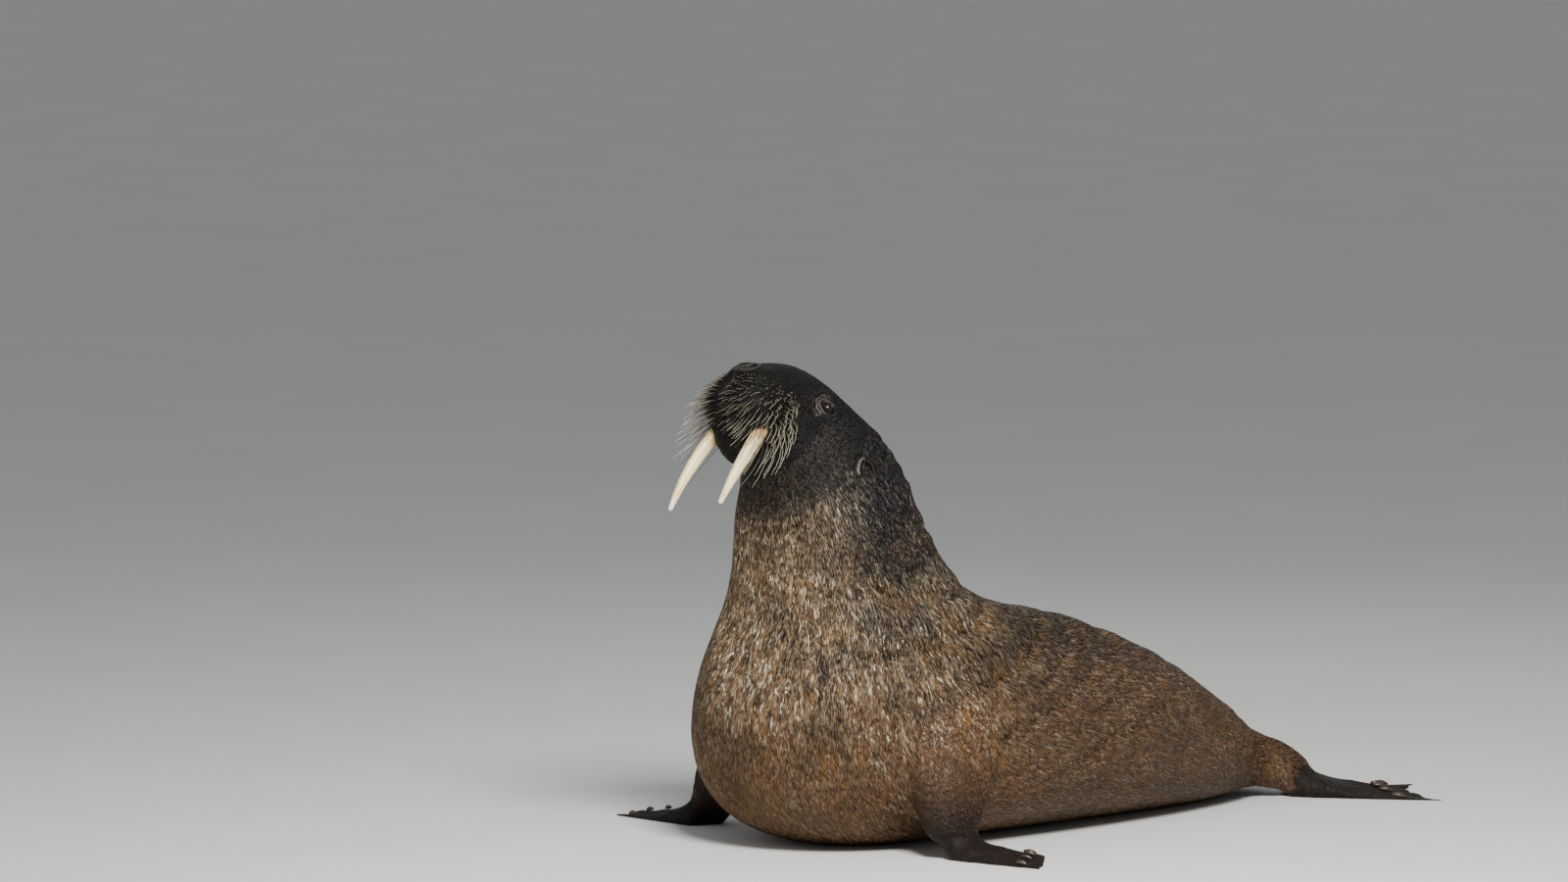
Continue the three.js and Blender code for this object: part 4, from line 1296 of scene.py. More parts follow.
@dataclass(frozen=True)
class HideFinish:
    """Walrus hide, wet: thick skin under a sparse coat of short flat hair.

    It is near black on the head, brown with rusty patches on the neck and chest, and greyer on the back. The wet
    hair lies in streaks along the body, with tan hair between dark gaps, and shines a little. Its glints and
    sparkles are painted highlights. The nape and the throat under the chin are darkened with painted shade, and
    the darker side and back behind the neck are partly painted shade.
    """

    head: str = "#090809"
    muzzle: str = "#0c0b09"
    neck: str = "#5e432c"
    # dark brown of the side and back behind the neck: partly the hide's darker tone, partly painted shade of the side
    # turned from the light; also the painted shadow under the chin
    side: str = "#271c15"
    # painted shade: the nape near-black, with a cool blue cast of painted reflection
    nape: str = "#090a10"
    rust: str = "#6c481c"
    back: str = "#45352a"
    belly: str = "#553e2c"
    flipper: str = "#211b17"
    gap: str = "#0e0a07"
    # light tan of the hair, also the colour of its painted glints
    hair: str = "#dcc29a"
    # painted sparkle of the wet hair
    bead: str = "#efe0c4"
    lid: str = "#160e0c"
    # pale grey of the painted highlight on the ear's fold, the ridges round the eye and the nostril's rim
    ear: str = "#82786c"
    # near-black of the painted shade in the hollows
    dark: str = "#060504"
    streak: Triple = (5.4 * MM, 5.4 * MM, 27 * MM)
    drop: Triple = (3.3 * MM, 3.3 * MM, 10.5 * MM)
    strand: Triple = (1.6 * MM, 1.6 * MM, 10.8 * MM)
    crease: Triple = (9 * MM, 9 * MM, 4.74 * MM)
    wrinkle: Triple = (42 * MM, 42 * MM, 13 * MM)
    wave: float = 45 * MM
    drift: float = 26 * MM

    @staticmethod
    def cells(tree: Tree, lie: Socket, size: Row) -> Socket:
        """The lie of the hair counted in cells of a size: across it, around and along it."""
        return put(tree, "VectorMath", {0: lie, 1: tuple(1 / side for side in size)}, operation="MULTIPLY")

    def patterns(self, tree: Tree, place: Socket) -> dict[str, Socket]:
        """What the markings read: places, distances and the noises of patches, streaks, hairs and painted sparkles.

        Args:
            tree: the group's tree.
            place: the place on the body.

        Returns:
            The values by name.
        """
        lie = put(tree, "Attribute", attribute_name="lie", out="Vector")
        drift = put(tree, "TexNoise", {"Vector": place, "Scale": 1 / self.wave, "Detail": 1.0}, out="Color")
        drift = put(tree, "VectorMath", {0: drift, 1: (0.5, 0.5, 0.5)}, operation="SUBTRACT")
        lie = put(tree, "VectorMath", {0: drift, 1: (self.drift,) * 3, 2: lie}, operation="MULTIPLY_ADD")
        read = {"height": put(tree, "SeparateXYZ", {0: place}, out="Z")}
        read["behind"] = read["height"].node.outputs["Y"]
        for name, spot in (("throat", (30, -40, -280)), ("head", (0, -30, -20)), ("muzzle", (0, -175, -50))):
            middle = tuple(HEAD.out([spot])[0])
            read[name] = put(tree, "VectorMath", {0: place, 1: middle}, out="Value", operation="DISTANCE")
        for name, where, scale, detail, rough in (
            ("broad", place, 4.2, 4.0, 0.55),
            ("patch", place, 14.0, 5.0, 0.6),
            ("clump", lie, 9.0, 2.0, 0.5),
            ("streak", self.cells(tree, lie, self.streak), 0.5, 3.0, 0.6),
            ("hair", self.cells(tree, lie, self.strand), 0.5, 2.0, 0.5),
            ("drop", self.cells(tree, lie, self.drop), 0.5, 1.0, 0.5),
            ("grime", place, 90.0, 3.0, 0.5),
        ):
            feeds = {"Vector": where, "Scale": scale, "Detail": detail, "Roughness": rough}
            read[name] = put(tree, "TexNoise", feeds)
        return read

    def shares(self, tree: Tree, read: dict[str, Socket]) -> dict[str, Socket]:
        """Where each marking lies, as shares from 0 to 1 whose edges wander with the broad noise.

        Args:
            tree: the group's tree.
            read: what the markings read.

        Returns:
            The shares by name.
        """
        wobble = put(tree, "Math", {0: read["broad"], 1: 0.5}, operation="SUBTRACT")
        share = {"flipper": put(tree, "Attribute", attribute_name="flipper", out="Fac")}
        for name, source, low, high, wander in (
            ("back", "height", 0.2, 0.52, 0.25),
            ("front", "behind", -0.28, -0.5, 0.2),
            ("aside", "behind", -0.95, -0.8, 0.18),
            ("above", "height", 0.34, 0.52, 0.2),
            ("patch", "patch", 0.46, 0.66, 0.0),
            ("low", "height", 0.9, 0.62, 0.3),
            ("high", "height", 0.5, 0.86, 0.25),
            ("rear", "behind", -0.84, -0.72, 0.1),
            ("throat", "throat", 0.19, 0.07, 0.2),
            ("head", "head", 0.36, 0.2, 0.14),
            ("muzzle", "muzzle", 0.15, 0.1, 0.05),
            ("haired", "head", 0.14, 0.38, 0.1),
            ("clear", "muzzle", 0.13, 0.23, 0.03),
            ("chest", "behind", -0.3, -0.68, 0.1),
            ("raised", "height", 0.14, 0.46, 0.1),
            ("clump", "clump", 0.52, 0.36, 0.0),
            ("gap", "streak", 0.53, 0.4, 0.0),
            ("glint", "streak", 0.55, 0.68, 0.0),
            ("hair", "hair", 0.52, 0.7, 0.0),
            ("drop", "drop", 0.61, 0.67, 0.0),
            ("grime", "grime", 0.56, 0.4, 0.0),
        ):
            shaken = put(tree, "Math", {0: wobble, 1: wander, 2: read[source]}, operation="MULTIPLY_ADD")
            share[name] = put(tree, "MapRange", {0: shaken, 1: low, 2: high}, interpolation_type="SMOOTHSTEP")
        # lit: patches where the painted glints and sparkles are strongest
        share["lit"] = put(tree, "MapRange", {0: read["clump"], 1: 0.4, 2: 0.58, 3: 0.25, 4: 1.0})
        for name, first, second in (("flank", "aside", "above"), ("nape", "high", "rear"), ("wet", "chest", "raised")):
            share[name] = put(tree, "Math", {0: share[first], 1: share[second]}, operation="MULTIPLY")
        for name, source, slope, start in (
            ("redder", "front", 0.28, 0.34),
            ("off_nape", "nape", -0.62, 1.0),
            ("off_flank", "flank", -0.42, 1.0),
            ("off_flipper", "flipper", -1.0, 1.0),
            ("wetter", "wet", 0.8, 0.2),
        ):
            share[name] = put(tree, "Math", {0: share[source], 1: slope, 2: start}, operation="MULTIPLY_ADD")
        furred = share["haired"]
        for name in ("clear", "off_nape", "off_flank", "off_flipper", "wetter"):
            furred = put(tree, "Math", {0: furred, 1: share[name]}, operation="MULTIPLY")
        return {**share, "furred": furred}

    def markings(self) -> Tree:
        """The node group of colours that the skin and its coat share, painted shade and painted highlights among them.

        Returns:
            A group whose outputs are the colour, the streaks and the fine hair.
        """
        tree = bpy.data.node_groups.new("walrus_markings", "ShaderNodeTree")
        read = self.patterns(tree, put(tree, "TexCoord", out="Object"))
        share = self.shares(tree, read)
        colour = linear(self.belly)
        for names, strength, code in (
            (("back",), 1.0, self.back),
            (("front",), 1.0, self.neck),
            # side and back behind the neck: partly darker hide, partly painted shade
            (("flank",), 1.0, self.side),
            (("patch", "low", "redder"), 1.0, self.rust),
            # painted shade over the nape
            (("nape",), 0.9, self.nape),
            # painted shadow under the chin, in the dark side colour
            (("throat",), 0.75, self.side),
            (("head",), 1.0, self.head),
            (("muzzle",), 1.0, self.muzzle),
            (("flipper",), 1.0, self.flipper),
            (("clump", "furred"), 0.8, self.gap),
            (("gap", "furred"), 0.88, self.gap),
            # painted glints along the wet streaks
            (("glint", "furred", "lit"), 0.46, self.hair),
            (("hair", "furred"), 0.25, self.hair),
            # painted sparkles on the wet hair
            (("drop", "furred", "lit"), 0.8, self.bead),
            (("grime",), 0.3, self.gap),
        ):
            laid = strength
            for name in names:
                laid = put(tree, "Math", {0: share[name], 1: laid}, operation="MULTIPLY")
            colour = put(tree, "Mix", {0: laid, 6: colour, 7: linear(code)}, out=2, data_type="RGBA")
        end = tree.nodes.new("NodeGroupOutput")
        for name, kind, value in (
            ("Colour", "NodeSocketColor", colour),
            ("Streak", "NodeSocketFloat", read["streak"]),
            ("Hair", "NodeSocketFloat", read["hair"]),
        ):
            tree.interface.new_socket(name, in_out="OUTPUT", socket_type=kind)
            tree.links.new(value, end.inputs[name])
        return tree

    def skin(self, markings: Tree) -> Material:
        """The skin's own material: its markings with painted shade in the hollows, painted highlight on ridges, dark
        lids, creases and combed hair in relief.

        Args:
            markings: the shared group.

        Returns:
            The material.
        """
        material, tree = new_material("wet_walrus_hide")
        marks = put(tree, "Group", node_tree=markings).node.outputs
        place = put(tree, "TexCoord", out="Object")
        lie = put(tree, "Attribute", attribute_name="lie", out="Vector")
        colour = marks["Colour"]
        # the hollow mask lays painted shade in the hollows
        # the pale mask lays painted highlight on the ear's fold, the ridges round the eye and the nostril's rim
        for name, strength, code in (("lid", 0.7, self.lid), ("pale", 0.7, self.ear), ("hollow", 0.9, self.dark)):
            laid = put(tree, "Attribute", attribute_name=name, out="Fac")
            laid = put(tree, "Math", {0: laid, 1: strength}, operation="MULTIPLY")
            colour = put(tree, "Mix", {0: laid, 6: colour, 7: linear(code)}, out=2, data_type="RGBA")
        net = self.cells(tree, lie, self.crease)
        bent = put(tree, "TexNoise", {"Vector": net, "Scale": 0.7, "Detail": 2.0}, out="Color")
        pulled = put(tree, "Mix", {0: 0.25, 4: net, 5: bent}, out=1, data_type="VECTOR")
        cracks = put(tree, "TexVoronoi", {"Vector": pulled, "Scale": 1.0}, out="Distance", feature="DISTANCE_TO_EDGE")
        edge = put(tree, "MapRange", {0: cracks, 1: 0.0, 2: 0.14}, interpolation_type="SMOOTHSTEP")
        pores = put(tree, "TexNoise", {"Vector": place, "Scale": 420.0, "Detail": 2.0})
        drawn = self.cells(tree, lie, self.wrinkle)
        wrinkles = put(tree, "TexNoise", {"Vector": drawn, "Scale": 0.5, "Detail": 3.0})
        relief = None
        for height, strength, distance in (
            (wrinkles, 0.6, 9 * MM),
            (edge, 0.35, 1.6 * MM),
            (marks["Streak"], 0.75, 3.2 * MM),
            (marks["Hair"], 0.55, 1.1 * MM),
            (pores, 0.25, 0.5 * MM),
        ):
            feeds = {"Height": height, "Strength": strength, "Distance": distance}
            relief = put(tree, "Bump", {**feeds, "Normal": relief} if relief else feeds)
        rough = put(tree, "MapRange", {0: marks["Streak"], 1: 0.3, 2: 0.7, 3: 0.34, 4: 0.6})
        feeds = {"Base Color": colour, "Roughness": rough, "Normal": relief, "IOR": 1.36, "Specular IOR Level": 0.2}
        return finished(material, feeds)

    def coat(self, markings: Tree) -> Material:
        """The material of the tufts: the skin's markings, lighter towards the tips, each tuft a little different.

        Args:
            markings: the shared group.

        Returns:
            The material.
        """
        material, tree = new_material("short_wet_hair")
        marks = put(tree, "Group", node_tree=markings).node.outputs
        tip, tone = (put(tree, "Attribute", attribute_name=name, out="Fac") for name in ("tip", "tone"))
        light = put(tree, "Math", {0: tip, 1: tone}, operation="MULTIPLY")
        feeds = {0: light, 6: marks["Colour"], 7: linear(self.hair)}
        colour = put(tree, "Mix", feeds, out=2, data_type="RGBA")
        relief = put(tree, "Bump", {"Height": marks["Hair"], "Strength": 0.5, "Distance": 0.8 * MM})
        feeds = {"Base Color": colour, "Roughness": 0.44, "Normal": relief, "IOR": 1.45, "Specular IOR Level": 0.36}
        return finished(material, feeds)


@dataclass(frozen=True)
class IvoryFinish:
    """Tusk: cementum over dentine, worn smooth by use, cream with fine warm cracks along it and a stained root."""

    cream: str = "#ffe8b0"
    warm: str = "#d9ae68"
    stain: str = "#b3671f"
    crack: str = "#7d5530"
    worn: str = "#f6f0de"
    crack_apart: float = 5 * MM

    def build(self) -> Material:
        """Makes the material.

        Returns:
            The material, which reads the attributes grain and down.
        """
        material, tree = new_material("worn_walrus_ivory")
        grain = put(tree, "Attribute", attribute_name="grain", out="Vector")
        down = put(tree, "Attribute", attribute_name="down", out="Fac")
        slim = (1 / self.crack_apart, 1 / self.crack_apart, 0.06 / self.crack_apart)
        lines = put(tree, "VectorMath", {0: grain, 1: slim}, operation="MULTIPLY")
        wander = put(tree, "TexNoise", {"Vector": lines, "Scale": 1.3, "Detail": 3.0})
        crack = put(tree, "TexVoronoi", {"Vector": lines, "Scale": 0.55}, out="Distance", feature="DISTANCE_TO_EDGE")
        broken = put(tree, "TexNoise", {"Vector": grain, "Scale": 35.0, "Detail": 2.0})
        share = {}
        for name, value, low, high, strength in (
            ("broken", broken, 0.42, 0.6, 1.0),
            ("band", wander, 0.5, 0.66, 0.5),
            ("crack", crack, 0.03, 0.0, 1.0),
            ("root", down, 0.5, 0.06, 0.72),
            ("end", down, 0.9, 1.0, 0.6),
        ):
            eased = put(tree, "MapRange", {0: value, 1: low, 2: high}, interpolation_type="SMOOTHSTEP")
            strength = share["broken"] if name == "crack" else strength
            share[name] = put(tree, "Math", {0: eased, 1: strength}, operation="MULTIPLY")
        colour = linear(self.cream)
        for name, code in (("band", self.warm), ("crack", self.crack), ("root", self.stain), ("end", self.worn)):
            colour = put(tree, "Mix", {0: share[name], 6: colour, 7: linear(code)}, out=2, data_type="RGBA")
        low = put(tree, "Math", {0: 1.0, 1: share["crack"]}, operation="SUBTRACT")
        relief = put(tree, "Bump", {"Height": low, "Strength": 0.6, "Distance": 0.6 * MM})
        relief = put(tree, "Bump", {"Height": wander, "Strength": 0.3, "Distance": 0.8 * MM, "Normal": relief})
        feeds = {"Base Color": colour, "Roughness": 0.36, "Normal": relief, "IOR": 1.54, "Subsurface Weight": 0.08}
        return finished(material, {**feeds, "Subsurface Radius": (0.004, 0.003, 0.002)})


@dataclass(frozen=True)
class EyeFinish:
    """A wet eye: a brown iris round a dark pupil under a clear glossy cornea, and a bloodshot white that is dim."""

    pupil: str = "#060505"
    iris: str = "#24150e"
    rim: str = "#0b0706"
    white: str = "#43302a"

    def build(self) -> Material:
        """Makes the material.

        Returns:
            The material, which reads the attribute gaze, the angle from the middle of the pupil in radians.
        """
        material, tree = new_material("wet_eye")
        shade = put(tree, "ValToRGB", {0: put(tree, "Attribute", attribute_name="gaze", out="Fac")})
        ramp = shade.node.color_ramp
        ramp.elements[0].position, ramp.elements[0].color = 0.24, linear(self.pupil)
        ramp.elements[1].position, ramp.elements[1].color = 0.96, linear(self.white)
        for position, code in ((0.3, self.iris), (0.56, self.iris), (0.66, self.rim), (0.78, self.rim)):
            ramp.elements.new(position).color = linear(code)
        place = put(tree, "TexCoord", out="Object")
        fibres = put(tree, "TexNoise", {"Vector": place, "Scale": 420.0, "Detail": 3.0})
        speck = put(tree, "MapRange", {0: fibres, 1: 0.35, 2: 0.65, 3: 0.55, 4: 1.25})
        colour = put(tree, "VectorMath", {0: shade, 1: speck}, operation="MULTIPLY")
        feeds = {"Base Color": colour, "Roughness": 0.08, "IOR": 1.38, "Coat Weight": 0.8, "Coat Roughness": 0.02}
        return finished(material, feeds)


@dataclass(frozen=True)
class BristleFinish:
    """Whisker: a stiff horn bristle, dull yellowish grey, darker at its root and paler at its worn end."""

    root: str = "#3c372a"
    end: str = "#cfc7ab"
    old: str = "#262119"

    def build(self) -> Material:
        """Makes the material.

        Returns:
            The material, which reads the attributes tip and tone.
        """
        material, tree = new_material("horn_bristle")
        tip, tone = (put(tree, "Attribute", attribute_name=name, out="Fac") for name in ("tip", "tone"))
        aged = put(tree, "MapRange", {0: tone, 1: 0.55, 2: 0.8}, interpolation_type="SMOOTHSTEP")
        colour = linear(self.root)
        for share, code in ((tip, self.end), (aged, self.old)):
            colour = put(tree, "Mix", {0: share, 6: colour, 7: linear(code)}, out=2, data_type="RGBA")
        grain = put(tree, "TexNoise", {"Vector": put(tree, "TexCoord", out="Object"), "Scale": 900.0, "Detail": 1.0})
        relief = put(tree, "Bump", {"Height": grain, "Strength": 0.3, "Distance": 0.2 * MM})
        return finished(material, {"Base Color": colour, "Roughness": 0.42, "IOR": 1.54, "Normal": relief})


@dataclass(frozen=True)
class ClawFinish:
    """Claw: keratin horn grown in layers, dark brown, scratched and half glossy."""

    horn: str = "#241c17"
    layer: str = "#4f3f33"

    def build(self) -> Material:
        """Makes the material.

        Returns:
            The material, in Object coordinates.
        """
        material, tree = new_material("dark_claw_horn")
        growth = put(tree, "TexNoise", {"Vector": put(tree, "TexCoord", out="Object"), "Scale": 260.0, "Detail": 3.0})
        feeds = {0: growth, 6: linear(self.horn), 7: linear(self.layer)}
        colour = put(tree, "Mix", feeds, out=2, data_type="RGBA")
        relief = put(tree, "Bump", {"Height": growth, "Strength": 0.4, "Distance": 0.4 * MM})
        return finished(material, {"Base Color": colour, "Roughness": 0.38, "IOR": 1.54, "Normal": relief})


@dataclass(frozen=True)
class FloorFinish:
    """Studio floor: pale matt painted board, very slightly uneven."""

    pale: str = "#e4e2dd"
    shade: str = "#dcdad4"

    def build(self) -> Material:
        """Makes the material.

        Returns:
            The material, in Object coordinates.
        """
        material, tree = new_material("matt_painted_floor")
        cloud = put(tree, "TexNoise", {"Vector": put(tree, "TexCoord", out="Object"), "Scale": 1.5, "Detail": 3.0})
        feeds = {0: cloud, 6: linear(self.pale), 7: linear(self.shade)}
        colour = put(tree, "Mix", feeds, out=2, data_type="RGBA")
        return finished(material, {"Base Color": colour, "Roughness": 0.8})


@dataclass
class Tusks:
    """The two tusks, which leave the upper lip forwards and curl back towards their tips, in millimetres."""

    plan: TuskPlan
    wide: float = 17.0
    deep: float = 20.0
    tip: float = 6.0
    taper: float = 2.1

    def build(self, material: Material) -> None:
        """Lofts both tusks and dresses them in ivory."""
        for side in Side:
            dress(self.tusk(side), material, (f"tusk_{side.label}",))

    def tusk(self, side: Side) -> Piece:
        """Lofts one tusk with its shallow grooves and worn round tip.

        Args:
            side: which side.

        Returns:
            The piece, with the values that its material reads.
        """
        length = self.plan.lengths[side]
        body = np.linspace(0, 1, 46)
        turn = np.linspace(0, 2 * math.pi, 32, endpoint=False)
        wear, rings = Noise(31 + side.value), []
        for share, place in zip(body, self.plan.line(side, body)):
            ahead, behind = self.plan.line(side, np.array([min(share + 0.01, 1), max(share - 0.01, 0)]))
            way = unit((ahead - behind)[None])[0]
            across = unit(np.array([[1.0, 0, 0]]) - way * way[0])[0]
            over = np.cross(way, across)
            thin = 1 - share**self.taper
            wide, deep = (self.tip + (full - self.tip) * thin - 0.3 for full in (self.wide, self.deep))
            lobes = 1 - 0.035 * np.cos(2 * turn) ** 8 - 0.02 * np.cos(5 * turn + 1.0) ** 2
            around = np.stack([np.cos(turn), np.sin(turn), np.full(len(turn), share * length / 70)], axis=1)
            lobes += 0.014 * wear.layered(around * [1.5, 1.5, 0.5], 2)
            aside, above = np.cos(turn) * wide * lobes, np.sin(turn) * deep * lobes
            rings.append(place + np.outer(aside, across) + np.outer(above, over))
        end = self.plan.line(side, np.array([0.985, 1.0]))
        way = unit((end[1] - end[0])[None])[0]
        for step in (0.35, 0.62, 0.82, 0.95, 1.0):
            shrink = math.sqrt(max(0.0, 1 - step**2)) if step < 1 else 0.06
            middle = end[1] + way * self.tip * 0.8 * step
            rings.append(middle + (rings[45] - end[1]) * shrink)
        piece = loft(f"ivory_tusk_{side.label}", [HEAD.out(ring) for ring in rings])
        points = HEAD.into(points_of(piece))
        _, share = nearest_on_line(points, self.plan.line(side, np.linspace(0, 1, 121)))
        offset = points - self.plan.line(side, share)
        note(piece, "grain", np.column_stack([offset[:, :2], share * length]) * MM)
        note(piece, "down", share)
        return piece


@dataclass
class Eyes:
    """The two eyeballs, each with the low bulge of its cornea."""

    cornea: float = 0.62
    bulge: float = 0.9

    def build(self, material: Material) -> None:
        """Shapes both eyes and dresses them.

        Args:
            material: the wet eye.
        """
        look = unit(np.array(HEAD.look))
        for side in Side:
            piece = ball(f"wet_eye_{side.label}", 40, 28)
            apply(piece, "SUBSURF", levels=1, render_levels=1)
            way = unit(points_of(piece))
            away = np.arccos(np.clip(way @ look, -1, 1))
            radius = HEAD.eye_radius - 0.9 + self.bulge * ease(away, self.cornea, 0.1)
            move_points(piece, HEAD.out((np.array(HEAD.eye) + way * radius[:, None]) * [side.value, 1, 1]))
            turn_outwards(piece)
            note(piece, "gaze", away)
            dress(piece, material, (f"eye_{side.label}",))


@dataclass
class Claws:
    """Five small claws on the back of each hand and foot."""

    span: float = 0.86

    def build(self, material: Material) -> None:
        """Shapes the claws, one joined and dressed piece for each hand and foot.

        Args:
            material: the horn.
        """
        for limb, side in FLIPPERS:
            kind, digits = limb.name.split("_")[0], range(len(limb.paddle.digits))
            piece = join([self.claw(limb, side, digit) for digit in digits], f"claws_{kind}_{side.label}")
            dress(piece, material, tuple(f"claw_{kind}_{side.label}_{digit + 1}" for digit in digits))

    def claw(self, limb: LimbPlan, side: Side, digit: int) -> Piece:
        """Shapes one claw: narrow, arched and blunt, its root under the skin.

        Args:
            limb: the flipper.
            side: which side.
            digit: counted from the first.

        Returns:
            The claw.
        """
        paddle = limb.paddle
        across = np.full(2, (1 - 2 * digit / (len(paddle.digits) - 1)) * self.span)
        root, ahead = paddle.top(across, np.array([paddle.claw_at, paddle.claw_at + 0.06]))
        length, wide, deep = paddle.claw_size
        along = unit((ahead - root)[None])[0]
        level = unit(np.cross([0.0, 0.0, 1.0], along)[None])[0]
        up = np.cross(along, level)
        piece = ball(f"claw_{digit}", 16, 10)
        form = points_of(piece) * [length - 1, wide - 1.5, deep - 1]
        form[:, 1] *= 1 - 0.45 * ease(form[:, 0], 0, length)
        form[:, 2] += 2.0 - 4.0 * ease(form[:, 0], 0, length)
        spin, origin = limb.frame(side)
        local = root + form @ np.stack([along, level, up])
        move_points(piece, np.maximum(local * MM @ spin.T + origin, [-9, -9, 0.0005]))
        turn_outwards(piece)
        return piece


@dataclass
class Whiskers:
    """The stiff bristles of the upper lip's cushions: short by the nose, long at the lower outer edge."""

    rows: int = 16
    per_row: int = 21
    lowest: float = -1.05
    highest: float = 0.6
    inner: float = -0.06
    outer: float = 1.95
    shortest: float = 13.0
    longest: float = 148.0
    thick: float = 0.98
    fair_from: float = 75.0
    sides: int = 5
    rings: int = 5

    def build(self, material: Material) -> None:
        """Grows the whiskers of both cushions and dresses them in horn."""
        for side in Side:
            dress(self.cushion(side), material)

    def cushion(self, side: Side) -> Piece:
        """Grows the whiskers of one cushion in staggered rows from seeded draws.

        Args:
            side: which side.

        Returns:
            The joined whiskers.
        """
        draw = np.random.default_rng(40 + side.value)
        grid = []
        for row in range(self.rows):
            rise = self.lowest + (self.highest - self.lowest) * row / (self.rows - 1)
            count = max(7, round(self.per_row * math.cos(rise)))
            share = (np.arange(count) + (0.25 if row % 2 else 0.7)) / count
            grid.append((self.inner + (self.outer - self.inner) * share, np.full(count, rise)))
        turn, rise = np.hstack(grid)
        turn += draw.normal(scale=0.022, size=len(turn))
        rise += draw.normal(scale=0.018, size=len(rise))
        place, outward = HEAD.cushion_point(turn, rise)
        low = 1 - ease(rise, self.lowest, self.highest)
        aside = ease(turn, 0.0, self.outer)
        long = np.clip(0.14 * low + 0.3 * aside**1.5 + 0.56 * low * aside**1.5, 0, 1)
        length = (self.shortest + (self.longest - self.shortest) * long) * draw.uniform(0.75, 1.12, len(turn))
        droop = np.stack([-0.25 * np.sin(turn), np.full(len(turn), -0.4), np.full(len(turn), -0.9)], axis=1)
        droop += draw.normal(scale=0.08, size=droop.shape)
        thick = self.thick * draw.uniform(0.72, 1.05, len(turn))
        fair = np.clip(length / self.fair_from, 0.3, 1)
        points, tips = [], []
        for step in range(self.rings + 1):
            share = step / self.rings
            out = length * (0.9 * share - 0.22 * share**2)
            fall = length * (0.1 * share + 0.4 * share**2)
            middle = place + outward * (out - 5 * (step == 0))[:, None] + droop * fall[:, None]
            radius = thick * (1 - 0.72 * share**1.3)
            along = unit(outward * (0.9 - 0.44 * share) + droop * (0.1 + 0.8 * share))
            across = unit(np.cross(along, [0.3, 0.2, 1.0]))
            over = np.cross(along, across)
            for angle in np.arange(self.sides) * 2 * math.pi / self.sides:
                points.append(middle + (across * math.cos(angle) + over * math.sin(angle)) * radius[:, None])
                tips.append(share * fair)
        points.append(place + outward * (length * 0.69)[:, None] + droop * (length * 0.515)[:, None])
        tips.append(fair)
        per = len(points)
        corners = HEAD.out(np.stack(points, axis=1).reshape(-1, 3) * [side.value, 1, 1])
        faces = repeated(self.faces(per), per, len(turn))[:, :: side.value]
        piece = mesh_piece(f"whiskers_{side.label}", corners, faces)
        note(piece, "tip", np.stack(tips, axis=1).ravel())
        note(piece, "tone", np.repeat(draw.uniform(0, 1, len(turn)), per))
        return piece

    def faces(self, per: int) -> Array:
        """The triangles of one whisker: a closed root, a tube and a pointed end.

        Args:
            per: how many corners a whisker has.

        Returns:
            One triangle a row.
        """
        n = self.sides
        out = [(0, corner + 1, corner) for corner in range(1, n - 1)]
        for start in range(0, per - 1, n):
            for a, b in ((start + corner, start + (corner + 1) % n) for corner in range(n)):
                out += [(a, b, b + n), (a, b + n, a + n)] if start < self.rings * n else [(a, b, per - 1)]
        return np.array(out)


@dataclass(frozen=True)
class CoatZone:
    """One piece of the coat: the stretch of the body that it covers and the size of its tufts, in millimetres."""

    name: str
    low: float
    high: float
    limb: bool
    count: int
    length: float
    width: float
    lift: float
    fair: float
    slot: str


COAT_ZONES = (
    CoatZone("coat_face", 18.4, 24.0, False, 8000, 6.5, 1.7, 0.5, 0.06, "face_skin"),
    CoatZone("coat_crown", 16.6, 18.4, False, 11000, 11.0, 2.2, 0.7, 0.22, "face_skin"),
    CoatZone("coat_neck", 13.4, 16.6, False, 17000, 27.0, 3.8, 1.6, 0.6, "skin"),
    CoatZone("coat_chest", 10.4, 13.4, False, 17000, 32.0, 4.4, 1.9, 0.4, "skin"),
    CoatZone("coat_shoulder", 7.6, 10.4, False, 13000, 34.0, 5.0, 1.9, 0.2, "skin"),
    CoatZone("coat_flank", 4.2, 7.6, False, 14000, 34.0, 5.2, 1.8, 0.16, "skin"),
    CoatZone("coat_rump", 0.0, 4.2, False, 8500, 27.0, 4.6, 1.6, 0.16, "skin"),
    CoatZone("coat_limbs", 0.0, 24.0, True, 7500, 15.0, 3.2, 1.0, 0.12, "flipper_skin"),
)


